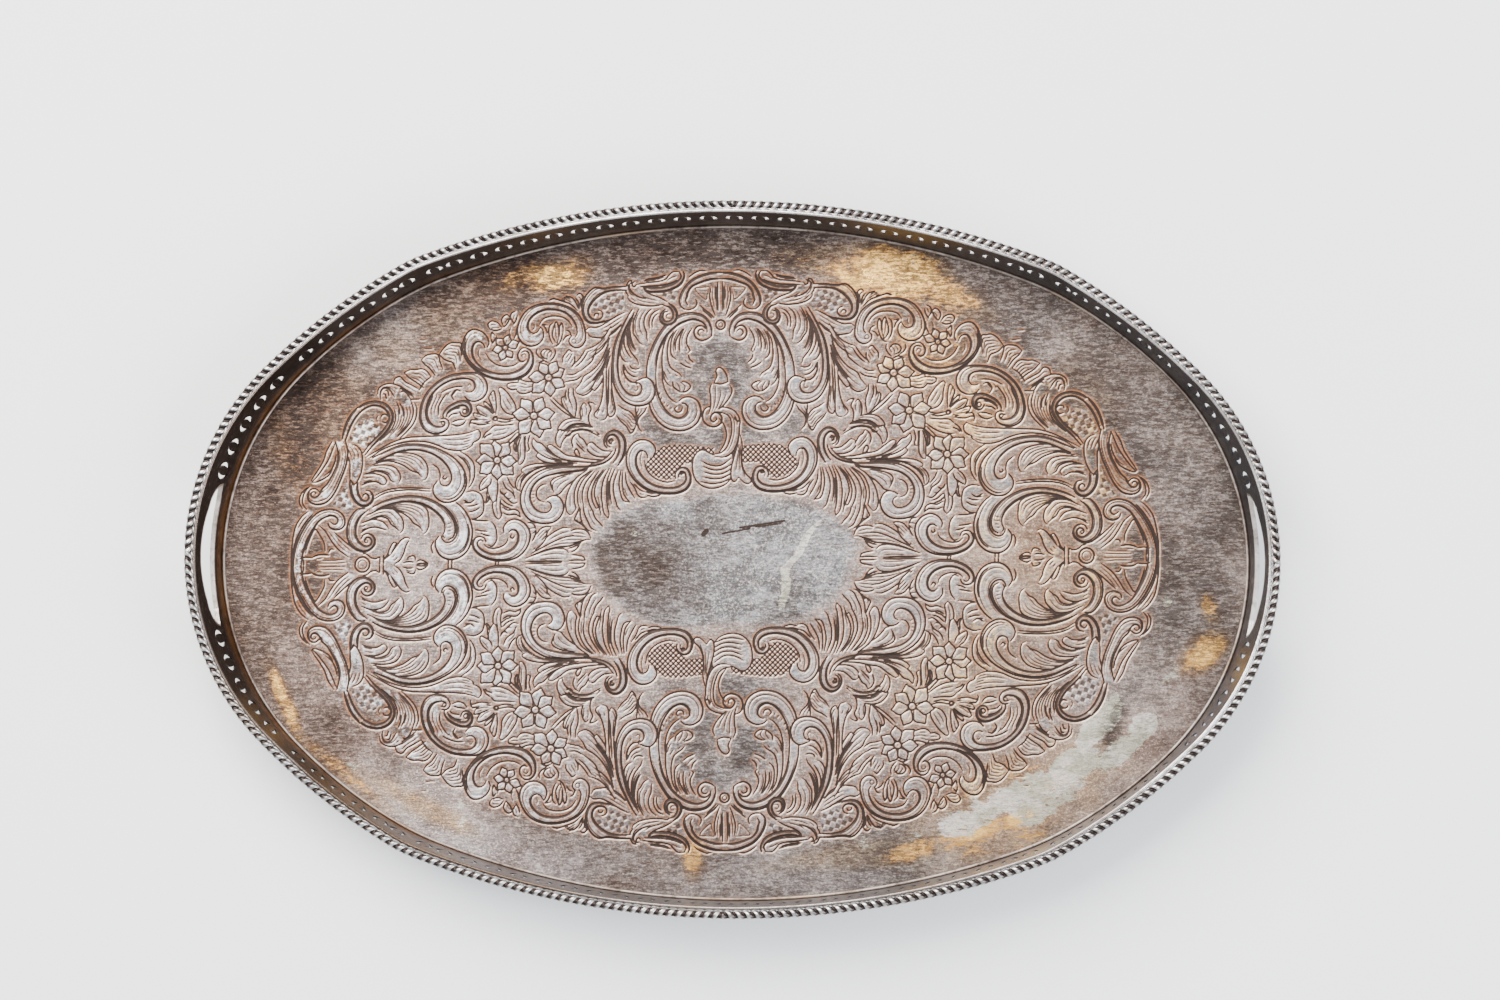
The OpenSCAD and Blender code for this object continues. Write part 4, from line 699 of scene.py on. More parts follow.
class Plate:
    """Grids of how deep the graver went and how bright the metal was left."""
    width = {H: 0.92, M: 0.76, F: 0.60}
    depth = {H: 1.0, M: 0.85, F: 0.6}

    def __init__(self, groove, bright, shift=0.0):
        self.groove, self.bright, self.shift = groove, bright, np.array([shift, 0.0])

    def cut(self, points, weight, depth, taper=0.35):
        cut(self.groove, points + self.shift, self.width[weight], depth, taper)

    def fill(self, poly, level):
        """A shape lies over what was drawn before it."""
        rows, cols, mask = inside(poly + self.shift, self.groove.shape)
        self.bright[rows, cols][mask] = level
        self.groove[rows, cols][mask] = 0

    def leaf(self, a, b, veins):
        """A leaf between two edges, with veins that follow them."""
        p, q = smooth(a), smooth(b)
        self.fill(np.vstack([p, q[::-1]]), 0.62)
        self.cut(p, M, 0.9)
        self.cut(q, M, 0.9)
        m = max(len(p), len(q))
        p, q = resample(p, m), resample(q, m)
        for i in range(veins):
            k = (i + 1) / (veins + 1)
            end = int(m * (0.94 - 0.24 * ((i * 37) % 5) / 4))
            # every other vein stops where the leaf gets too narrow to part them
            roomy = np.flatnonzero(np.hypot(*(p - q).T) > (veins + 1) * (0.95 if i % 2 else 1.5))
            start = max(int(0.04 * m), roomy[0] if len(roomy) else m)
            end = min(end, roomy[-1] if len(roomy) else 0)
            if end - start > 4:
                self.cut((p * (1 - k) + q * k)[start:end], F, 0.66, 0.15)

    def band(self, a, b):
        """A polished scroll with three shading lines along it."""
        p, q = smooth(a), smooth(b)
        self.fill(np.vstack([p, q[::-1]]), 1.0)
        self.cut(p, H, 1.0, 0.6)
        self.cut(q, H, 0.9, 0.5)
        m = max(len(p), len(q))
        for k, level in ((0.24, 0.66), (0.52, 0.34), (0.8, 0.56)):
            inner = resample(p, m) * (1 - k) + resample(q, m) * k
            self.cut(inner[int(0.05 * m):int(0.9 * m)], F, level, 0.1)

    def ring(self, x, y, radius, weight):
        a = np.linspace(0, 2 * np.pi, 80)
        points = np.stack([x + radius * np.cos(a), y + radius * np.sin(a)], 1)
        self.cut(points, weight, self.depth[weight], 1.0)

    def flower(self, cx, cy, eye, tips):
        for tx, ty in zip(tips[::2], tips[1::2]):
            poly = petal(cx, cy, tx, ty)
            self.fill(poly, 0.85)
            self.cut(poly, M, 0.85, 0.5)
            for k in (0.62, 0.75):
                t = np.array([[cx, cy], [cx + k * (tx - cx) + 0.06 * (ty - cy), cy + k * (ty - cy)]])
                self.cut(resample(t, 40)[14:], F, 0.35, 0.2)
        round_eye = [(cx + eye * math.cos(a), cy + eye * math.sin(a)) for a in np.linspace(0, 6.2, 24)]
        self.fill(np.array(round_eye), 0.4)
        self.ring(cx, cy, eye, M)
        self.ring(cx, cy, 0.1, F)

    def trellis(self, outline, pitch, slope):
        rows, cols, mask = inside(smooth(outline), self.groove.shape)
        y, x = np.mgrid[rows, cols] * CELL
        if slope:                                        # a lattice of two sets of lines
            lines = np.zeros(mask.shape)
            for s in (slope, -slope):
                d = np.abs(((y - s * x) / np.hypot(1, slope) / pitch) % 1 - 0.5) * 2
                lines = np.maximum(lines, np.clip((d - 0.55) / 0.3, 0, 1))
        else:                                            # chequered squares
            u, v = 0.94 * x + 0.34 * y, 0.94 * y - 0.34 * x
            lines = 0.48 * ((np.floor(u / pitch) + np.floor(v / pitch)) % 2)
        block = self.groove[rows, cols]
        block[mask] = np.maximum(block[mask], 0.8 * lines[mask])
        self.bright[rows, cols][mask] = 0.45 if slope else 0.95


def draw_ornament():
    """Groove and brightness over the upper half of the pattern; the lower half is the same turned round."""
    quarter = Plate(np.zeros((ROWS, COLS)), np.zeros((ROWS, COLS)))
    for outline in TRELLIS:
        quarter.trellis(*outline)
    for leaf in LEAVES:
        quarter.leaf(*leaf)
    for band in BANDS:
        quarter.band(*band)
    for w, *pts in CUTS:
        quarter.cut(smooth(pts), w, Plate.depth[w])
    for flower in FLOWERS:
        quarter.flower(*flower)
    for ring in RINGS:
        quarter.ring(*ring)
    groove, bright = (np.hstack([g[:, :0:-1], g]) for g in (quarter.groove, quarter.bright))
    half = Plate(groove, bright, (COLS - 1) * CELL)
    for leaf in AXIS_LEAVES:
        half.leaf(*leaf)
    for w, *pts in AXIS_CUTS:
        half.cut(smooth(pts), w, Plate.depth[w])
    return half.groove, half.bright


# ---------------------------------------------------------------- floor with the chased ornament
FINE = 0.46                      # mm, mesh cells where the metal is chased
BLOCK = 4                        # plain metal is meshed in blocks of this many fine cells
MIDDLE = (-5.0, 0.4)             # middle of the ornament, a little off the middle of the tray
TILT = math.radians(1.3)         # and turned by this much
STRETCH = 1.0156                 # drawn size to real size
RELIEF = 0.30                    # mm, depth of the deepest cut
GRID_HALF = (272, 181)           # mm, half the grid that the floor is cut from


def sample(grid, x, y):
    """Value of a half-plate grid at points of the pattern."""
    turned = np.where(y < 0, -1, 1)
    c, r = x * turned / CELL + COLS - 1, np.abs(y) / CELL
    ok = (c > 0) & (c < grid.shape[1] - 1) & (r < ROWS - 1)
    c, r = np.clip(c, 0, grid.shape[1] - 1.001), np.minimum(r, ROWS - 1.001)
    i, j = c.astype(int), r.astype(int)
    fc, fr = c - i, r - j
    near = grid[j, i] * (1 - fc) + grid[j, i + 1] * fc
    far = grid[j + 1, i] * (1 - fc) + grid[j + 1, i + 1] * fc
    return np.where(ok, near * (1 - fr) + far * fr, 0)


def to_pattern(x, y):
    """Where a point of the tray lies in the drawn ornament."""
    x, y = x - MIDDLE[0], y - MIDDLE[1]
    c, s = math.cos(TILT) / STRETCH, math.sin(TILT) / STRETCH
    return x * c + y * s, y * c - x * s


def blob(x, y, cx, cy, rx, ry, turn=0.0):
    """A soft round patch, 1 in its middle and 0 outside."""
    c, s = math.cos(math.radians(turn)), math.sin(math.radians(turn))
    u, v = ((x - cx) * c + (y - cy) * s) / rx, (-(x - cx) * s + (y - cy) * c) / ry
    return np.clip(1.3 - np.hypot(u, v), 0, 1)


# scratches and blots: from x, y to x, y, half-width, darkness
SCRATCHES = ((-5, 14.5, 9, 17.2, 0.42, 0.9), (4, 17.6, 27, 21.4, 0.45, 1.0), (12, 18.0, 25, 19.9, 0.35, 0.8),
             (-15, 14, -13.4, 15.8, 1.0, 1.0), (-24, -8, 20, -13, 0.25, 0.35), (-34, 2, -12, -15, 0.25, 0.4),
             (0, -18, 26, -14.5, 0.25, 0.35), (-40, 12, -30, -16, 0.25, 0.3), (8, 8, 14, -20, 0.25, 0.25),
             (219, 62, 232, 52, 0.35, 0.4), (212, 20, 236, 4, 0.3, 0.3), (-30, -156, -6, -151, 0.3, 0.35),
             (-236, 36, -228, 60, 0.3, 0.35), (40, 148, 66, 153, 0.3, 0.3))


def scratches(x, y):
    """How dark the scratches and blots are at each point."""
    found = np.zeros_like(x)
    for x0, y0, x1, y1, half, level in SCRATCHES:
        dx, dy = x1 - x0, y1 - y0
        t = np.clip(((x - x0) * dx + (y - y0) * dy) / (dx * dx + dy * dy), 0, 1)
        away = np.hypot(x - x0 - t * dx, y - y0 - t * dy)
        found = np.maximum(found, level * np.clip(1.8 - away / half, 0, 1))
    return found


def floor_reach():
    """A function of a point: how far away the floor's edge is in that direction."""
    edge = outline(FLOOR_ARCS, np.arange(-180, 180, 0.5), WALL_T)
    angle, radius = np.arctan2(edge[:, 1], edge[:, 0]), np.hypot(*edge.T)
    order = np.argsort(angle)
    angle, radius = angle[order], radius[order]
    return lambda x, y: np.interp(np.arctan2(y, x), angle, radius, period=2 * np.pi)


def block_faces(chased, keep, row):
    """Small faces in the chased blocks, and one face for each plain block, with its neighbours' corners."""
    fine = []
    jj, ii = np.nonzero(chased)
    for dj in range(BLOCK):
        for di in range(BLOCK):
            v = (jj * BLOCK + dj) * row + ii * BLOCK + di
            fine.append(np.stack([v, v + 1, v + 1 + row, v + row], 1))
    plain = []
    beside = np.pad(chased, 1)
    steps = range(BLOCK)
    jj, ii = np.nonzero(keep & ~chased)
    for j, i in zip(jj.tolist(), ii.tolist()):
        v = j * BLOCK * row + i * BLOCK
        east_corner, north_corner = v + BLOCK, v + BLOCK * row
        far_corner = north_corner + BLOCK
        south = [v + k for k in steps] if beside[j, i + 1] else [v]
        east = [east_corner + k * row for k in steps] if beside[j + 1, i + 2] else [east_corner]
        north = [far_corner - k for k in steps] if beside[j + 2, i + 1] else [far_corner]
        west = [north_corner - k * row for k in steps] if beside[j + 1, i] else [north_corner]
        plain.append(south + east + north + west)
    return np.concatenate(fine).tolist(), plain


def edges(faces):
    """Every edge of the faces in the direction that its face goes round."""
    return {(a, b): True for face in faces for a, b in zip(face, face[1:] + face[:1])}


def outer_loop(fine, plain):
    """The corners round the outside in order: edges of plain faces that no other face shares."""
    of_fine, of_plain = edges(fine), edges(plain)
    after = {a: b for a, b in of_plain if (b, a) not in of_plain and (b, a) not in of_fine}
    loop = [next(iter(after))]
    while after[loop[-1]] != loop[0]:
        loop.append(after[loop[-1]])
    return np.array(loop)


def floor_mesh():
    """The floor sheet with the chased pattern cut into its upper face."""
    groove, bright = draw_ornament()
    height = 0.55 * blur(bright, 0.45) - 1.0 * blur(groove, 0.16) - 0.5 * blur(groove, 0.9)
    # a copper-orange fringe beside each cut: partly copper bared at the worn edges, partly a painted warm
    # reflection
    halo = np.clip(blur(groove, 0.55) * 1.5 - 0.9 * groove, 0, 1)
    used = blur((groove > 0.02) * 1.0, 0.8) > 0.01

    # a fine grid, and the blocks of it that lie inside the outline
    nx, ny = (int(half / FINE / BLOCK) * 2 * BLOCK for half in GRID_HALF)
    gx, gy = (np.arange(nx + 1) - nx / 2) * FINE, (np.arange(ny + 1) - ny / 2) * FINE
    reach = floor_reach()
    block_x, block_y = np.meshgrid(*((g[:-1:BLOCK] + g[BLOCK::BLOCK]) / 2 for g in (gx, gy)))
    keep = np.hypot(block_x, block_y) < reach(block_x, block_y) - 0.2 * BLOCK * FINE

    # the drawn pattern wavers a little, as hand work does
    all_x, all_y = np.meshgrid(gx, gy)
    px, py = to_pattern(all_x, all_y)
    waver_x = px + 0.35 * value_noise(all_x, all_y, 38, 5)
    waver_y = py + 0.35 * value_noise(all_x, all_y, 38, 6)
    marked = (sample(used * 1.0, waver_x, waver_y) > 0.3) | (scratches(all_x, all_y) > 0)
    blocks = (ny // BLOCK, BLOCK, nx // BLOCK, BLOCK)
    chased = marked[:-1, :-1].reshape(blocks).any(axis=(1, 3))
    chased |= marked[1:, 1:].reshape(blocks).any(axis=(1, 3))
    fine, plain = block_faces(chased & keep, keep, nx + 1)

    # number the corners that are used, and move the outer ones onto the outline
    corners = np.unique(np.concatenate([np.array(f) for f in fine + plain]))
    index = -np.ones(all_x.size, int)
    index[corners] = np.arange(len(corners))
    fine, plain = ([[int(index[k]) for k in f] for f in group] for group in (fine, plain))
    x, y = all_x.ravel()[corners], all_y.ravel()[corners]
    wx, wy = waver_x.ravel()[corners], waver_y.ravel()[corners]
    loop = outer_loop(fine, plain)
    faces = fine + plain
    k = reach(x[loop], y[loop]) / np.hypot(x[loop], y[loop])
    x[loop] *= k
    y[loop] *= k

    soft = blur(groove, 0.14)
    g = sample(soft, wx, wy)
    # light catches the side of a cut that faces away from the lamp behind the tray
    lit_x, lit_y = to_pattern(x - 0.28, y + 0.42)
    glint = sample(soft, lit_x + wx - to_pattern(x, y)[0], lit_y + wy - to_pattern(x, y)[1]) - 1.3 * g
    matte = sample(np.clip(blur(used * 1.0, 2.4) * 1.6 - 0.3, 0, 1) * (1 - bright), wx, wy)
    b = sample(blur(bright, 0.3), wx, wy)
    h = sample(halo, wx, wy)
    z = FLOOR_Z + RELIEF * sample(height, wx, wy)
    z += 0.16 * fractal(x, y, 90, 3, 2) + 0.05 * fractal(x, y, 24, 4, 2)
    z[loop] = FLOOR_Z
    verts = np.stack([x, y, z], 1)
    low = np.stack([x[loop], y[loop], np.full(len(loop), FOOT_H)], 1)
    n = len(verts)
    m = len(loop)
    low_id = [n + i for i in range(m)]
    for i in range(m):
        a, c = int(loop[i]), int(loop[(i + 1) % m])
        faces.append([c, a, low_id[i], low_id[(i + 1) % m]])
    faces.append(low_id[::-1])
    verts = np.vstack([verts, low]) * MM
    obj = make_object("floor_chased", verts, faces)
    me = obj.data
    smooth_flags = np.ones(len(me.polygons), bool)
    smooth_flags[-m - 1:] = False                        # the edge of the sheet and its underside
    me.polygons.foreach_set("use_smooth", smooth_flags)

    # what the material needs to know at each point
    vx, vy = verts[:, 0] / MM, verts[:, 1] / MM
    top = np.concatenate([np.ones(n), np.zeros(m)])
    zero = np.zeros(m)
    g = np.maximum(g, 0.62 * scratches(x, y))
    chase = np.stack([np.append(g, zero), np.append(b, zero), np.append(h, zero), np.ones(n + m)], 1)
    # golden patches (worn brass and painted golden reflection), bare patches, tarnish with painted dark
    # reflection in the shells, and the painted bluish reflection on the plate and shells
    wear_and_painted_light = patches(vx, vy, np.append(b, zero)) * top[:, None]
    wear_and_painted_light, plate = wear_and_painted_light[:, :3], wear_and_painted_light[:, 3]
    # matted ground, painted glints beside the cuts, and the painted bluish reflection on the plate and
    # shells
    ground = np.stack([np.append(matte, zero), np.append(glint, zero), plate, np.ones(n + m)], 1)
    color_layer(me, "chase", chase)
    color_layer(me, "wear_and_painted_light", np.hstack([wear_and_painted_light, np.ones((n + m, 1))]))
    color_layer(me, "ground", ground)
    return obj


CHASED_HALF = (196, 128)         # mm, half the oval that the ornament covers
PLATE_HALF = (66, 33)            # mm, half the plain plate in its middle

# Patches on the floor: middle x, middle y, half-length, half-width, turn in degrees, amount.
# brassy patches: worn-through brass and painted golden reflections
GOLD_SPOTS = (
    (-92, 149, 19, 10, 14, 1.0), (-112, 148, 18, 6, 30, 0.7), (78, 149, 36, 16, -8, 1.2),
    (42, 158, 26, 8, 0, 0.5), (112, 138, 28, 12, -30, 0.9), (100, 112, 34, 30, 0, 0.5),
    (124, 84, 34, 44, 0, 0.5), (176, 84, 30, 30, -40, 0.3), (243, -45, 15, 9, 40, 1.2),
    (247, -22, 5, 9, 20, 0.8), (168, -112, 14, 5, 30, 0.9), (140, -134, 30, 6, 22, 1.0),
    (108, -145, 34, 7, 16, 0.8), (150, -122, 66, 28, 28, 0.62), (-206, 70, 26, 34, 20, 0.34),
    (-150, 120, 60, 26, 35, 0.3), (-18, -154, 6, 12, 0, 0.8), (70, -150, 60, 8, 8, 0.35),
    (168, 6, 60, 60, 0, 0.34), (120, -60, 50, 40, 0, 0.34), (-203, -110, 38, 4, -38, 0.6),
    (-160, -128, 40, 7, -28, 0.45), (-232, 52, 12, 30, 20, 0.45), (-232, -76, 4.5, 24, 24, 1.0),
)
# bare pale marks
PALE_SPOTS = (
    (189, -84, 8, 18, -40, 1.2), (200, -97, 17, 8, 40, 1.1), (213, -82, 10, 7, 30, 1.1),
    (176, -104, 20, 11, 35, 1.0), (150, -118, 40, 11, 25, 0.8), (128, -130, 36, 9, 20, 0.6),
    (170, -120, 30, 10, 32, 0.6), (226, -56, 14, 6, 60, 0.4), (225, -18.5, 3.4, 3.2, 0, 1.0),
    (-214, -40, 22, 60, 10, 0.22),
)
# tarnish, or cleaner metal where the amount is below 0
DARK_SPOTS = (
    (-240, 60, 34, 80, 15, 0.35), (-150, -140, 70, 24, -28, -0.45), (165, -112, 70, 34, 30, -0.8),
    (230, 30, 26, 80, 0, 0.15), (-20, 160, 60, 12, 0, 0.3), (140, 110, 60, 30, -30, 0.1),
    (197, -86, 6, 14, -20, 0.9), (205, -68, 5, 12, -30, 0.35), (140, -112, 36, 10, 28, 0.4),
    (20, -160, 90, 16, 0, -0.1), (-170, 128, 50, 20, 32, -0.15),
)


def patches(x, y, b):
    """How golden, how worn to pale metal, and how tarnished the floor is at each point (0 to 1), and where
    it is painted bluish; the gold is worn-through brass and painted golden reflection, the tarnish holds
    painted dark reflection in the shells, and the bluish is a painted reflection on the plate and shells.
    """
    n1, n2, n3 = fractal(x, y, 34, 11), fractal(x, y, 16, 12), fractal(x, y, 60, 13)
    px, py = to_pattern(x, y)
    chased = np.clip(1.35 - np.hypot(px / CHASED_HALF[0], py / CHASED_HALF[1]) ** 6, 0, 1)
    square_oval = np.abs(px / PLATE_HALF[0]) ** 2.4 + np.abs(py / PLATE_HALF[1]) ** 2.4
    plate = np.clip((1.12 - square_oval) * 5 + n2, 0, 1)
    gold = np.zeros_like(x)
    for cx, cy, rx, ry, turn, amount in GOLD_SPOTS:
        spot = blob(x, y, cx, cy, rx, ry, turn) * (1.1 + 0.8 * n2) + 0.15 * n1
        near = blob(x, y, cx, cy, rx * 1.6, ry * 1.6, turn) > 0
        gold = np.maximum(gold, amount * np.clip(spot, 0, 1) * near)
    pale = np.zeros_like(x)
    for cx, cy, rx, ry, turn, amount in PALE_SPOTS:
        spot = (blob(x, y, cx, cy, rx, ry, turn) + 0.55 * n2) * 1.6 - 0.35
        pale = np.maximum(pale, amount * np.clip(spot, 0, 1))
    # a pale streak in the middle plate
    line = 26 + 0.11 * (y + 27) + 0.55 * np.clip(y + 3, 0, None) + 0.8 * np.sin(y / 3.1)
    streak = np.exp(-((x - line) / (1.9 - 0.02 * y)) ** 2) * np.clip(1.5 - np.abs(y) / 19, 0, 1) * 1.9
    pale = np.maximum(pale, streak * np.clip(0.8 + 0.6 * n2, 0, 1))
    dark = 0.58 + 0.14 * y / 150 + 0.48 * n1 + 0.3 * n3
    for cx, cy, rx, ry, turn, amount in DARK_SPOTS:
        dark = dark + amount * blob(x, y, cx, cy, rx, ry, turn)
    dark = np.clip(dark, 0, 1) * (1 - 0.68 * chased)
    dark = np.maximum(dark, plate * np.clip(0.26 + 0.55 * n1 + 0.85 * blob(x, y, -52, -6, 38, 30), 0, 1))
    # painted dark bluish reflection in the shells above and below the plate, less where the metal is
    # polished bright
    upper = np.clip(blob(x, y, -6, 80, 46, 40) * 1.8, 0, 1) * np.clip(0.75 + n2, 0, 1)
    lower = np.clip(blob(x, y, -8, -86, 34, 32) * 1.8, 0, 1) * np.clip(0.75 + n2, 0, 1)
    dark = np.maximum(dark, np.maximum(upper, lower) * (0.75 - 0.6 * b))
    bluish = np.maximum(plate, np.maximum(upper, lower))
    return np.stack([gold, pale, np.clip(dark, 0, 1), bluish], 1)


# ---------------------------------------------------------------- gadroon rim
LOBE = 4.65                      # mm, from one lobe to the next
LOBE_STEPS = 12                  # rings in each lobe
LOBE_DEPTH = 1.0                 # mm, how far the valleys lie below the crests
# points of the section: mm out from the rim's outline, and mm above its top
PLAIN_BAND = [(-6.3, -1.6), (-6.3, -0.3), (-6.1, 0), (-5.15, 0), (-4.9, -0.2), (-4.75, -0.85)]
ROLL_BACK = [(-3.9, -4.9), (-4.55, -3.3), (-4.55, -1.6)]
ROLL_STEPS = (14, 7)             # points over the roll, and points under its outer edge
ROLL_FROM = 158                  # degrees round the roll where the lobes start


def lobe_run():
    """Facing directions from the middle of a long side to the end, with the lobes passed so far."""
    turn = np.linspace(90, 0, 9001)
    run = np.append(0, np.cumsum(np.hypot(*np.diff(outline(RIM_ARCS, turn), axis=0).T)))
    return turn, run / run[-1] * round(run[-1] / LOBE)


def rim_piece(name, start, end, material):
    """One length of the rim: a plain band, then a roll with slanting lobes."""
    turn, run = lobe_run()
    quarter = np.interp(np.arange(int(round(run[-1])) * LOBE_STEPS + 1) / LOBE_STEPS, run, turn)
    around = np.concatenate([quarter, 180 - quarter, -quarter, quarter - 180])
    around = np.concatenate([around, around + 360])
    around = around[(around > start + 0.01) & (around < end - 0.01)]
    around = np.unique(np.round(np.concatenate([[start], around, [end]]), 7))
    q = np.abs((around + 180) % 360 - 180)
    passed = np.interp(np.where(q > 90, 180 - q, q), turn[::-1], run[::-1])

    over, under = ROLL_STEPS
    theta = np.concatenate([np.linspace(ROLL_FROM, 0, over), np.linspace(0, -90, under)])
    centre_z = np.where(np.arange(len(theta)) < over, RIM_TOP - ROLL_R, RIM_TOP - ROLL_H + ROLL_R)
    along = (ROLL_FROM - theta) / (ROLL_FROM + 90)
    lean = 0.42 * along + 0.30 * np.sin(np.pi * along)
    width = 0.82 - 0.10 * np.clip((ROLL_FROM - theta) / ROLL_FROM, 0, 1)
    grow = np.clip((160 - theta) / 20, 0, 1)             # the lobes fade in from the plain inner side
    deep = grow * (1 - 0.65 * np.clip((80 - theta) / 60, 0, 1))      # shallow again at the smooth outer edge
    v = (passed[:, None] - lean[None, :]) % 1 - 0.5
    swell = np.sqrt(np.clip(1 - (2 * v / width) ** 2, 0, 1))
    radius = ROLL_R - LOBE_DEPTH * (1 - swell) * deep
    th = np.radians(theta)
    off = -ROLL_R + radius * np.cos(th)
    z = centre_z + radius * np.sin(th)

    n = len(around)

    def fixed(points, k):
        return np.tile(np.array(points)[:, k], (n, 1))

    off = np.hstack([fixed(PLAIN_BAND, 0), off, fixed(ROLL_BACK, 0)])
    z = np.hstack([RIM_TOP + fixed(PLAIN_BAND, 1), z, RIM_TOP + fixed(ROLL_BACK, 1)])
    rows, edge = np.ones((n, 1)), len(PLAIN_BAND)
    zero = np.zeros_like(swell)
    # painted highlight and shade on the lobes: dark over each lobe but for a narrow stripe near its crest,
    # the painted highlight, and painted shade over the outer, lower half of the roll
    body = np.clip((np.abs(v + 0.10) - 0.12 + 0.08 * along) / 0.14, 0, 1)
    body = grow * np.maximum(body, 0.7 * np.clip((along - 0.42) / 0.2, 0, 1))
    lobe_painted_shade = np.hstack([rows * ([0] * edge), body, rows * ([1] * len(ROLL_BACK))])
    valley = np.hstack([rows * ([0] * edge), (1 - swell) * grow, rows * ([1] * len(ROLL_BACK))])
    band = np.hstack([rows * ([1] * edge), zero, rows * ([0] * len(ROLL_BACK))])
    m = off.shape[1]
    base, out = outline(RIM_ARCS, around), outline(RIM_ARCS, around, 1.0)
    way = out - base
    xy = base[:, None, :] + off[..., None] * way[:, None, :]
    verts = np.concatenate([xy, z[..., None]], 2).reshape(-1, 3) * MM
    i, j = np.meshgrid(np.arange(n - 1), np.arange(m), indexing="ij")
    a, b = i * m + j, i * m + (j + 1) % m
    faces = np.stack([a, a + m, b + m, b], 2).reshape(-1, 4).tolist()
    faces += [list(range(m)), list(range((n - 1) * m, n * m))[::-1]]
    obj = make_object(name, verts, faces)
    me = obj.data
    me.polygons[-1].use_smooth = me.polygons[-2].use_smooth = False
    color_layer(me, "lobes", np.stack([lobe_painted_shade, valley, band, np.ones_like(band)], 2))
    me.materials.append(material)
    return obj


# ---------------------------------------------------------------- gallery with its smallest holes
PAIR_PITCH, CRESCENT_Z, HOLE_L = 13.4, 19.0, 72.0
PIN_R, PIN_RISE = 0.64, 7.6      # mm, radius of a pin hole and its distance above or below the crescents


def pair_turns(start, end):
    """Directions of the pairs of crescents, spaced along the wall as in the CAD."""
    found = []
    turn = start
    while True:
        i = max(0, int(np.searchsorted(np.degrees(TURNS), turn, side="left")) - 1)
        step = math.degrees(PAIR_PITCH / ((FLOOR_ARCS[1][i] + RIM_ARCS[1][i] - RIM_W) / 2))
        if abs(end - turn) < step / 2:
            return found
        found.append(turn)
        turn += math.copysign(step, end - turn)


def pin_turns():
    """Directions of the pin holes in a quarter: between the pairs at the end, and at the side."""
    end_radius = (FLOOR_ARCS[1][0] + RIM_ARCS[1][0] - RIM_W) / 2
    ends = pair_turns(math.degrees((HOLE_L / 2 + PAIR_PITCH * 0.62) / end_radius), JOINT_TURN)
    sides = pair_turns(90.0, JOINT_TURN)
    return ([(a + b) / 2 for a, b in zip(ends, ends[1:])], [(a + b) / 2 for a, b in zip(sides, sides[1:])])


def pin_cutters(turns):
    """One mesh of round drills, two through the wall in each of the given directions."""
    sides = 10
    verts, faces = [], []
    ring = np.linspace(0, 2 * np.pi, sides, endpoint=False)
    for turn in turns:
        for rise in (-PIN_RISE, PIN_RISE):
            v = (CRESCENT_Z + rise) / WALL_H
            low, high = outline(FLOOR_ARCS, [turn])[0], outline(RIM_ARCS, [turn], -RIM_W)[0]
            p = low * (1 - v) + high * v
            d = np.array([math.cos(math.radians(turn)), math.sin(math.radians(turn))])
            side = np.array([-d[1], d[0]])
            base = len(verts)
            for reach in (-3.0, 4.0):
                for a in ring:
                    xy = p + d * reach + side * PIN_R * math.cos(a)
                    z = FLOOR_Z + CRESCENT_Z + rise + PIN_R * math.sin(a)
                    verts.append((xy[0] * MM, xy[1] * MM, z * MM))
            for k in range(sides):
                j = (k + 1) % sides
                faces.append([base + k, base + sides + k, base + sides + j, base + j])
            faces.append([base + k for k in range(sides)])
            faces.append([base + sides + k for k in range(sides)][::-1])
    me = bpy.data.meshes.new("pins")
    me.from_pydata(verts, [], faces)
    obj = bpy.data.objects.new("pins", me)
    bpy.context.collection.objects.link(obj)
    return obj


def gallery_piece(name, turns, material):
    """The CAD wall with the pin holes drilled through it."""
    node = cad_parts[name]
    cutter = pin_cutters(turns)
    obj = bpy.data.objects.new(name.replace("gallery", "pierced"), node.data.copy())
    bpy.context.collection.objects.link(obj)
    obj.matrix_world = node.matrix_world.copy()
    drill = obj.modifiers.new("pins", "BOOLEAN")
    drill.operation, drill.object, drill.solver = "DIFFERENCE", cutter, "EXACT"
    bpy.context.view_layer.update()
    done = bpy.data.meshes.new_from_object(obj.evaluated_get(bpy.context.evaluated_depsgraph_get()))
    obj.modifiers.clear()
    obj.data = done
    bpy.data.objects.remove(cutter)
    done.materials.clear()
    done.materials.append(material)
    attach(obj, "root")
    return obj


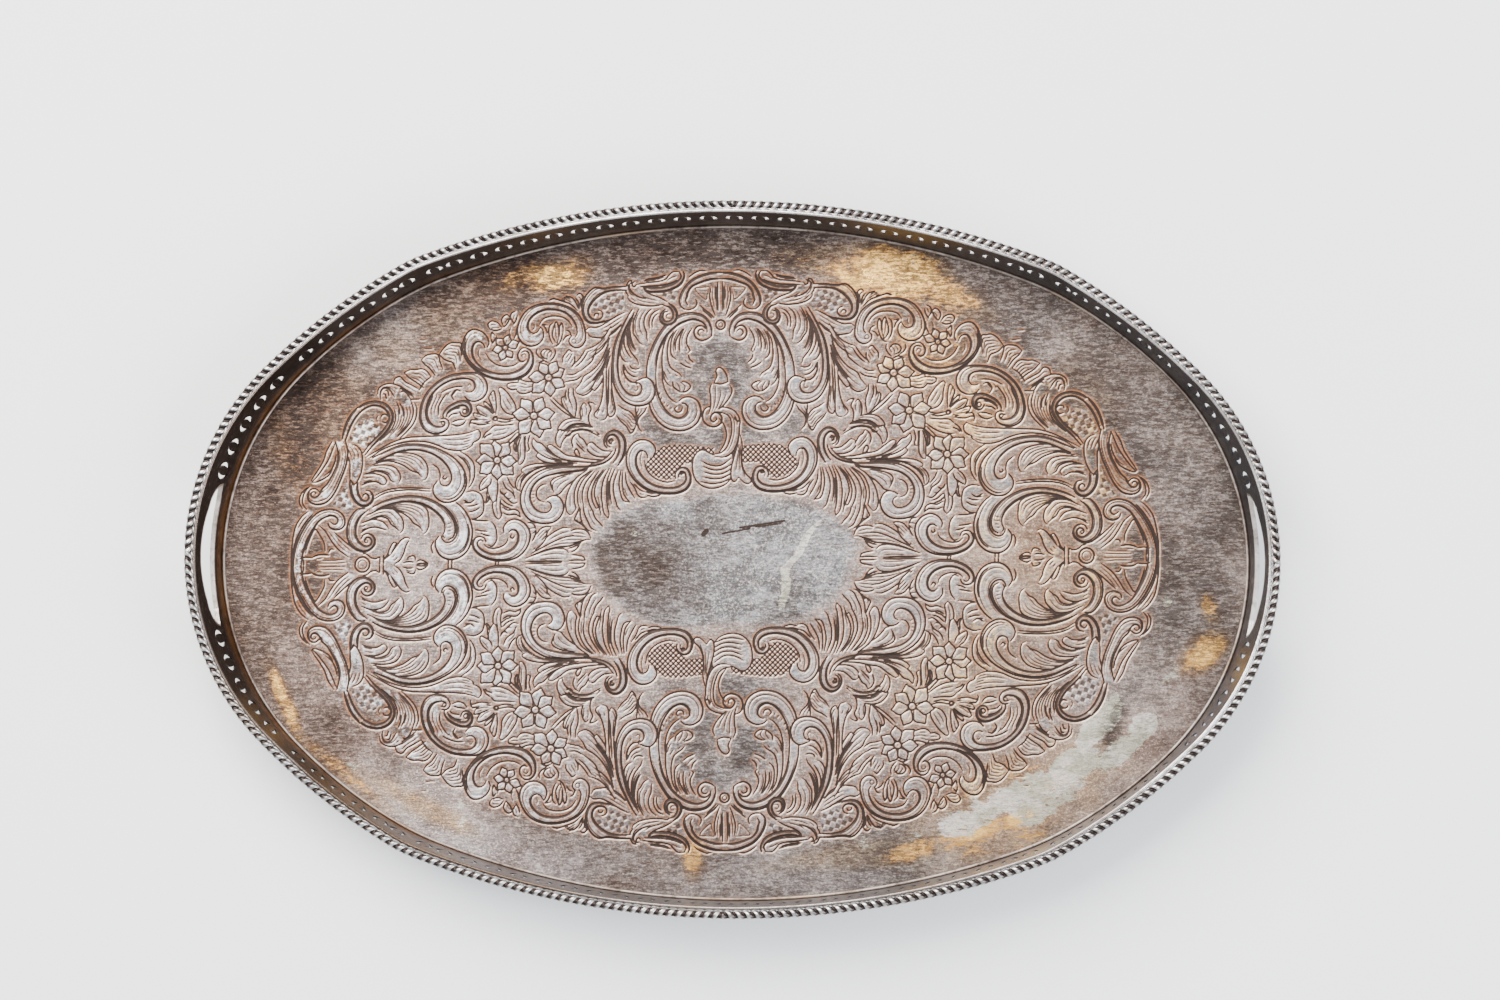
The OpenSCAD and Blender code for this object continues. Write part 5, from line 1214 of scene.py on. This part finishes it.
# ---------------------------------------------------------------- materials
class Nodes:
    """Short hand for building one material's node tree."""

    def __init__(self, name):
        self.mat = bpy.data.materials.new(name)
        self.mat.use_nodes = True
        self.tree = self.mat.node_tree
        self.bsdf = self.tree.nodes["Principled BSDF"]
        self.pos = self.tree.nodes.new("ShaderNodeTexCoord").outputs["Object"]

    def link(self, value, socket):
        if isinstance(value, bpy.types.NodeSocket):
            self.tree.links.new(value, socket)
        else:
            socket.default_value = value

    def node(self, kind, inputs=(), **props):
        n = self.tree.nodes.new(kind)
        for k, v in props.items():
            setattr(n, k, v)
        for k, v in dict(inputs).items():
            self.link(v, n.inputs[k])
        return n

    def math(self, op, a, b=0.0, c=0.0, clamp=False):
        n = self.node("ShaderNodeMath", {0: a, 1: b, 2: c}, operation=op, use_clamp=clamp)
        return n.outputs[0]

    def noise(self, scale, detail=3.0, rough=0.55, stretch=None, shift=(0, 0, 0)):
        m = self.node("ShaderNodeMapping", {"Vector": self.pos, "Scale": stretch or (1, 1, 1),
                                            "Location": shift})
        n = self.node("ShaderNodeTexNoise", {"Vector": m.outputs[0], "Scale": scale, "Detail": detail,
                                             "Roughness": rough})
        return n.outputs["Fac"] if "Fac" in n.outputs else n.outputs[0]

    def ramp(self, value, low, high):
        """Rises from 0 to 1 as the value goes from low to high."""
        n = self.node("ShaderNodeMapRange", {"Value": value, "From Min": low, "From Max": high},
                      clamp=True)
        n.interpolation_type = "SMOOTHSTEP"
        return n.outputs["Result"]

    def mix(self, fac, a, b, blend="MIX"):
        n = self.tree.nodes.new("ShaderNodeMix")
        n.data_type, n.blend_type = "RGBA", blend
        for v, key in ((fac, 0), (a, 6), (b, 7)):
            self.link(v, n.inputs[key])
        return n.outputs[2]

    def over(self, base, mask, strength, colour, blend="MIX"):
        """Lays a colour over the base where the mask is, as strongly as told."""
        return self.mix(self.math("MULTIPLY", mask, strength), base, colour, blend)

    def hatch(self, pitch):
        """A fine diagonal mesh of dots, as left by a matting tool."""
        s = self.tree.nodes.new("ShaderNodeSeparateXYZ")
        self.tree.links.new(self.pos, s.inputs[0])
        x, y = s.outputs[0], s.outputs[1]
        k = math.pi * 2 / pitch
        a = self.math("SINE", self.math("MULTIPLY", self.math("ADD", x, y), k / math.sqrt(2)))
        b = self.math("SINE", self.math("MULTIPLY", self.math("SUBTRACT", x, y), k / math.sqrt(2)))
        return self.math("MULTIPLY", a, b)

    def attribute(self, name):
        n = self.tree.nodes.new("ShaderNodeAttribute")
        n.attribute_name = name
        s = self.tree.nodes.new("ShaderNodeSeparateColor")
        self.tree.links.new(n.outputs["Color"], s.inputs[0])
        return s.outputs[0], s.outputs[1], s.outputs[2]

    def along(self, axis, low, high):
        """Rises from 0 to 1 between two places along an axis, in metres."""
        s = self.node("ShaderNodeSeparateXYZ", {0: self.pos})
        return self.ramp(s.outputs[axis], low, high)

    def bump(self, value, strength, distance):
        n = self.node("ShaderNodeBump", {"Height": value, "Strength": strength, "Distance": distance})
        self.tree.links.new(n.outputs[0], self.bsdf.inputs["Normal"])

    def out(self, **values):
        for key, v in values.items():
            self.link(v, self.bsdf.inputs[key.replace("_", " ").title() if key != "ior" else "IOR"])
        return self.mat


def rgb(r, g, b):
    """A colour without transparency."""
    return (r, g, b, 1.0)


def floor_material():
    """Old silver plate: tarnish, brassy and bare patches, and dark cuts in the chasing, with painted
    highlights and reflections.
    """
    n = Nodes("chased_plate")
    groove, bright, halo = n.attribute("chase")
    gold, pale, dark = n.attribute("wear_and_painted_light")
    matte, glint, plate = n.attribute("ground")
    grain = n.noise(620, 5, 0.72, (0.40, 1.4, 1))
    dots = n.noise(900, 3, 0.7, None, (3, 1, 0))
    speck = n.noise(330, 5, 0.75, (0.55, 1.3, 1), (3, 1, 0))
    broad = n.noise(14, 4, 0.6)
    mid = n.noise(60, 5, 0.7, (0.8, 1.2, 1), (1, 5, 2))
    hatch = n.hatch(0.0012)

    ground = n.mix(n.ramp(broad, 0.35, 0.65), rgb(0.235, 0.160, 0.132), rgb(0.28, 0.225, 0.205))
    ground = n.mix(n.ramp(mid, 0.42, 0.60), ground, rgb(0.355, 0.275, 0.24))
    silver = n.mix(n.ramp(mid, 0.42, 0.60), rgb(0.25, 0.285, 0.315), rgb(0.46, 0.475, 0.49))
    # the plain plate and the shells above and below it are painted dark bluish grey, a painted reflection in
    # their polished faces
    polished_reflection = n.mix(n.ramp(n.math("ADD", mid, n.math("MULTIPLY", dots, 0.35)), 0.58, 0.76),
                   rgb(0.095, 0.108, 0.122), rgb(0.29, 0.31, 0.335))
    base = n.over(ground, bright, 0.9, silver)
    base = n.over(base, plate, 0.85, polished_reflection)
    base = n.over(base, n.along(0, 0.02, -0.16), 0.8, rgb(0.93, 1.0, 1.07), "MULTIPLY")
    # darker and browner at the left end, greyer along the front
    base = n.over(base, n.along(0, -0.18, -0.235), 0.9, rgb(0.80, 0.73, 0.68), "MULTIPLY")
    base = n.over(base, n.along(1, -0.125, -0.16), 0.9, rgb(0.93, 1.07, 1.20), "MULTIPLY")
    # matted ground between the scrolls, and bare light specks
    mat = n.math("MULTIPLY", matte, n.math("MULTIPLY", n.ramp(hatch, 0.1, 0.6), 0.6))
    base = n.mix(mat, base, rgb(0.07, 0.045, 0.038))
    base = n.over(base, n.ramp(dots, 0.52, 0.62), 0.6, rgb(0.66, 0.56, 0.50))
    smudge = n.ramp(n.noise(78, 5, 0.75, None, (2, 9, 4)), 0.46, 0.66)
    base = n.over(base, smudge, 0.75, rgb(0.60, 0.55, 0.54), "MULTIPLY")
    # streaky dark tarnish, browner to the left, with painted dark reflection in the shells over and under
    # the plate
    base = n.over(base, dark, 0.86,
                  n.mix(n.along(0, -0.16, 0.10), rgb(0.125, 0.073, 0.050), rgb(0.105, 0.092, 0.088)))
    # a painted warm glow, then brassy patches of worn-through brass and painted golden reflection, and bare
    # patches, mottled at their edges
    base = n.over(base, n.ramp(gold, 0.02, 0.5), 0.8, rgb(1.0, 0.80, 0.52), "MULTIPLY")
    mottle = n.math("MULTIPLY_ADD", speck, 1.6, -0.8)
    # brassy patches: worn-through brass and painted golden reflection
    brass_and_sheen = n.ramp(n.math("ADD", gold, n.math("MULTIPLY", mottle, n.ramp(gold, 0.2, 0.5))), 0.53, 0.72)
    bare = n.ramp(n.math("ADD", pale, n.math("MULTIPLY", mottle, n.ramp(pale, 0.0, 0.25))), 0.39, 0.46)
    base = n.over(base, brass_and_sheen, 0.9,
                  n.mix(n.ramp(gold, 0.7, 1.0), rgb(0.62, 0.33, 0.10), rgb(0.98, 0.58, 0.16)))
    base = n.over(base, bare, 0.85,
                  n.mix(n.ramp(mid, 0.45, 0.58), rgb(0.44, 0.43, 0.34), rgb(0.60, 0.56, 0.51)))
    tarnish = n.ramp(n.math("ADD", grain, n.math("MULTIPLY", dark, 0.10)), 0.525, 0.575)
    base = n.over(base, tarnish, n.math("MULTIPLY_ADD", dark, 0.55, 0.34, True), rgb(0.030, 0.021, 0.018))
    spots = n.ramp(n.noise(430, 4, 0.78, (0.55, 1.5, 1), (7, 2, 3)), 0.53, 0.42)
    base = n.over(base, spots, n.math("MULTIPLY_ADD", dark, 0.65, 0.30, True),
                  rgb(0.42, 0.34, 0.30), "MULTIPLY")
    base = n.over(base, n.ramp(dots, 0.46, 0.37), n.math("MULTIPLY_ADD", dark, 0.6, 0.25),
                  rgb(0.05, 0.036, 0.032))
    # polished bodies catch warm light on the right and cool light on the left
    shine = n.math("MULTIPLY", bright, n.math("MULTIPLY", n.ramp(n.noise(240, 4, 0.7), 0.48, 0.60), 0.75))
    base = n.over(base, shine, n.ramp(gold, 0.12, 0.45), rgb(0.90, 0.58, 0.24))
    base = n.over(base, shine, n.along(0, -0.03, -0.15), rgb(0.72, 0.76, 0.80))
    # copper-orange fringe beside the cuts: bared copper and painted warm reflection
    base = n.over(base, halo, 0.9, rgb(0.66, 0.235, 0.070))
    base = n.mix(n.math("MULTIPLY", glint, 0.95, clamp=True), base, n.mix(gold, rgb(0.98, 0.88, 0.79),
                                                                            rgb(1.0, 0.78, 0.42)))
    base = n.mix(n.ramp(groove, 0.11, 0.48), base, rgb(0.024, 0.015, 0.012))
    rough = n.math("ADD", n.math("MULTIPLY", mid, 0.25), 0.27)
    rough = n.math("SUBTRACT", rough, n.math("MULTIPLY", gold, 0.10))
    rough = n.math("ADD", rough, n.math("MULTIPLY", tarnish, 0.15))
    n.bump(n.math("ADD", dots, n.math("MULTIPLY", grain, 1.2)), 0.3, 0.0005)
    return n.out(base_color=base, roughness=rough, metallic=0.82)


def plate_material(name, light, dark, amber, dirt, rough_low, seed, lobes=False):
    """Plain silver plate: worn light metal, brown tarnish between, a touch of amber; with lobes, also
    painted shade over the lobes that leaves a painted highlight stripe, and painted shade on the plain band.
    """
    n = Nodes(name)
    broad = n.noise(30, 5, 0.65, None, (seed, 0, 2))
    grain = n.noise(240, 4, 0.7, None, (0, seed, 1))
    fine = n.noise(1100, 2, 0.6, None, (1, 2, seed))
    base = n.mix(n.ramp(n.math("ADD", broad, n.math("MULTIPLY", grain, 0.5)), 0.62, 0.92), light, dark)
    base = n.over(base, n.ramp(grain, 0.52, 0.7), dirt, rgb(0.05, 0.038, 0.034))
    warm = n.ramp(n.noise(11, 3, 0.6, None, (seed, 4, 0)), 0.55, 0.72)
    base = n.over(base, warm, 0.6, amber)
    if lobes:
        lobe_painted_shade, valley, band = n.attribute("lobes")
        # painted shade over the lobes, leaving a painted highlight stripe near each crest
        base = n.over(base, lobe_painted_shade, 0.92, rgb(0.060, 0.052, 0.052))
        base = n.mix(n.ramp(valley, 0.18, 0.55), base, rgb(0.030, 0.021, 0.018))
        # painted shade on the plain inner band: darker to the left and along the front, less dark at the
        # back
        band_painted_shade = n.math("MULTIPLY_ADD", n.along(0, 0.0, -0.22), 0.75, 0.12)
        band_painted_shade = n.math("SUBTRACT", band_painted_shade, n.math("MULTIPLY", n.along(1, 0.10, 0.16), 0.35), clamp=True)
        band_painted_shade = n.math("ADD", band_painted_shade, n.math("MULTIPLY", n.along(1, -0.10, -0.15), 0.6), clamp=True)
        base = n.over(base, band, band_painted_shade, rgb(0.10, 0.068, 0.050))
    rough = n.math("ADD", n.math("MULTIPLY", grain, 0.3), rough_low)
    n.bump(n.math("ADD", fine, grain), 0.25, 0.0003)
    return n.out(base_color=base, roughness=rough, metallic=0.9)


def wall_material():
    """The gallery, with painted light and shade by side: near black on the left, greyer to the right and
    front, and a painted amber reflection of the floor low down.
    """
    n = Nodes("gallery_tarnish")
    broad = n.noise(40, 5, 0.65, (1, 1, 3))
    grain = n.noise(320, 4, 0.75, (1, 1, 2.5))
    left, right = n.along(0, -0.08, -0.22), n.along(0, 0.08, 0.20)
    back, front = n.along(1, 0.09, 0.15), n.along(1, -0.10, -0.15)
    base = n.mix(n.ramp(broad, 0.40, 0.62), rgb(0.045, 0.033, 0.028), rgb(0.115, 0.088, 0.074))
    # painted light and shade by side: browner at the back, bluish grey on the right, lighter grey at the
    # front, near black on the left
    base = n.over(base, back, 0.75, rgb(0.15, 0.118, 0.098))
    base = n.over(base, right, 0.85, rgb(0.082, 0.092, 0.108))
    base = n.over(base, front, 0.85, rgb(0.19, 0.185, 0.195))
    base = n.over(base, left, 0.75, rgb(0.020, 0.012, 0.009))
    # painted amber reflection of the floor on the low part of the wall, strongest on the left
    low = n.math("MULTIPLY", n.along(2, 0.021, 0.014), n.math("MULTIPLY_ADD", left, 0.75, 0.12))
    base = n.over(base, low, n.ramp(broad, 0.30, 0.55), rgb(0.24, 0.105, 0.028))
    base = n.over(base, n.ramp(grain, 0.50, 0.66), 0.6, rgb(0.020, 0.015, 0.013))
    base = n.over(base, n.ramp(grain, 0.42, 0.34), 0.4, rgb(0.34, 0.28, 0.24))
    n.bump(n.math("ADD", broad, grain), 0.25, 0.0003)
    return n.out(base_color=base, roughness=n.math("MULTIPLY_ADD", grain, 0.3, 0.26), metallic=0.9)


# ---------------------------------------------------------------- ground, light, camera
CAMERA_AWAY = 2.0                # metres from the camera to the tray's origin
CAMERA_LENS = 92.0832            # mm
SENSOR_W = 36.0                  # mm
CAMERA_PITCH, CAMERA_YAW, CAMERA_ROLL = np.radians([2.92, 3.29, 0.77]).tolist()
CAMERA_SHIFT = (0.0113333, 0.0416667)                 # in widths of the sensor
GROUND_HALF = 3.0                # metres, half the width of the ground
GROUND_COLOUR, SKY_COLOUR = (0.96, 0.96, 0.965, 1), (0.9, 0.95, 1.0, 1)
SKY_STRENGTH = 0.88
# name, place and width in metres, power in watts, colour
LAMPS = (
    ("key", (-1.0, 1.5, 2.2), 2.4, 260, (1.0, 0.98, 0.94)),
    ("fill", (1.9, -1.0, 2.0), 2.0, 110, (0.92, 0.95, 1.0)),
)


def make_camera():
    """Looks almost straight down, from a little towards the viewer and to the right."""
    cam = bpy.data.cameras.new("camera")
    cam.sensor_width, cam.lens = SENSOR_W, CAMERA_LENS
    cam.clip_start, cam.clip_end = 0.05, 20.0
    cam.shift_x, cam.shift_y = CAMERA_SHIFT
    obj = bpy.data.objects.new("camera", cam)
    bpy.context.collection.objects.link(obj)
    eye = CAMERA_AWAY * Vector((math.sin(CAMERA_YAW), -math.sin(CAMERA_PITCH),
                                math.cos(CAMERA_YAW) * math.cos(CAMERA_PITCH)))
    aim = -eye.normalized()
    right = aim.cross(Vector((0, 1, 0))).normalized()
    up = right.cross(aim)
    turn = Matrix.Rotation(-CAMERA_ROLL, 3, aim)
    right, up = turn @ right, turn @ up
    obj.matrix_world = Matrix(((right.x, up.x, -aim.x, eye.x), (right.y, up.y, -aim.y, eye.y),
                               (right.z, up.z, -aim.z, eye.z), (0, 0, 0, 1)))
    bpy.context.scene.camera = obj


def make_ground():
    """A plain white ground under the tray."""
    me = bpy.data.meshes.new("ground")
    w = GROUND_HALF
    me.from_pydata([(-w, -w, 0), (w, -w, 0), (w, w, 0), (-w, w, 0)], [], [(0, 1, 2, 3)])
    obj = bpy.data.objects.new("ground", me)
    bpy.context.collection.objects.link(obj)
    white = bpy.data.materials.new("ground")
    white.use_nodes = True
    bsdf = white.node_tree.nodes["Principled BSDF"]
    bsdf.inputs["Base Color"].default_value = GROUND_COLOUR
    bsdf.inputs["Roughness"].default_value = 0.95
    me.materials.append(white)


def make_light():
    """Soft daylight all round, a warm key lamp from behind on the left and a cooler fill."""
    world = bpy.data.worlds.new("world")
    bpy.context.scene.world = world
    world.use_nodes = True
    sky = world.node_tree.nodes["Background"]
    sky.inputs["Color"].default_value = SKY_COLOUR
    sky.inputs["Strength"].default_value = SKY_STRENGTH
    for name, place, width, power, colour in LAMPS:
        lamp = bpy.data.lights.new(name, "AREA")
        lamp.energy, lamp.size, lamp.color = power, width, colour
        obj = bpy.data.objects.new(name, lamp)
        bpy.context.collection.objects.link(obj)
        obj.location = place
        obj.rotation_euler = (-Vector(place)).to_track_quat("-Z", "Y").to_euler()


# ---------------------------------------------------------------- the whole scene
make_camera()
make_ground()
make_light()

floor = floor_mesh()
floor.data.materials.append(floor_material())
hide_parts("floor_sheet")

wall_mat = wall_material()
rim_mat = plate_material("rim_silver", rgb(0.70, 0.67, 0.66), rgb(0.40, 0.37, 0.355), rgb(0.60, 0.48, 0.37),
                         dirt=0.45, rough_low=0.14, seed=5, lobes=True)
lip_mat = plate_material("lip_silver", rgb(0.66, 0.63, 0.60), rgb(0.30, 0.26, 0.24), rgb(0.58, 0.42, 0.27),
                         dirt=0.4, rough_low=0.22, seed=9)
wire_mat = plate_material("wire_silver", rgb(0.40, 0.335, 0.295), rgb(0.17, 0.125, 0.105),
                          rgb(0.42, 0.27, 0.16), dirt=0.5, rough_low=0.34, seed=17)
foot_mat = plate_material("foot_silver", rgb(0.50, 0.47, 0.44), rgb(0.25, 0.22, 0.20), rgb(0.45, 0.35, 0.25),
                          dirt=0.4, rough_low=0.28, seed=13)
plain = {"hand": lip_mat, "base": wire_mat, "foot": foot_mat}
for name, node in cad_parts.items():
    if name[:4] in plain:
        node.data.materials.clear()
        node.data.materials.append(plain[name[:4]])

rims = {"back": (JOINT_TURN, 180 - JOINT_TURN), "right": (-JOINT_TURN, JOINT_TURN),
        "left": (180 - JOINT_TURN, 180 + JOINT_TURN), "front": (JOINT_TURN - 180, -JOINT_TURN)}
for side, (start, end) in rims.items():
    piece = rim_piece("gadroon_" + side, start, end, rim_mat)
    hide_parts("rim_" + side)

end_pins, side_pins = pin_turns()
pins = {"back": side_pins + [180 - a for a in side_pins],
        "front": [-a for a in side_pins + [180 - b for b in side_pins]],
        "right": end_pins + [-a for a in end_pins],
        "left": [180 - a for a in end_pins + [-b for b in end_pins]]}
for side, turns in pins.items():
    piece = gallery_piece("gallery_" + side, turns, wall_mat)
    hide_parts("gallery_" + side)
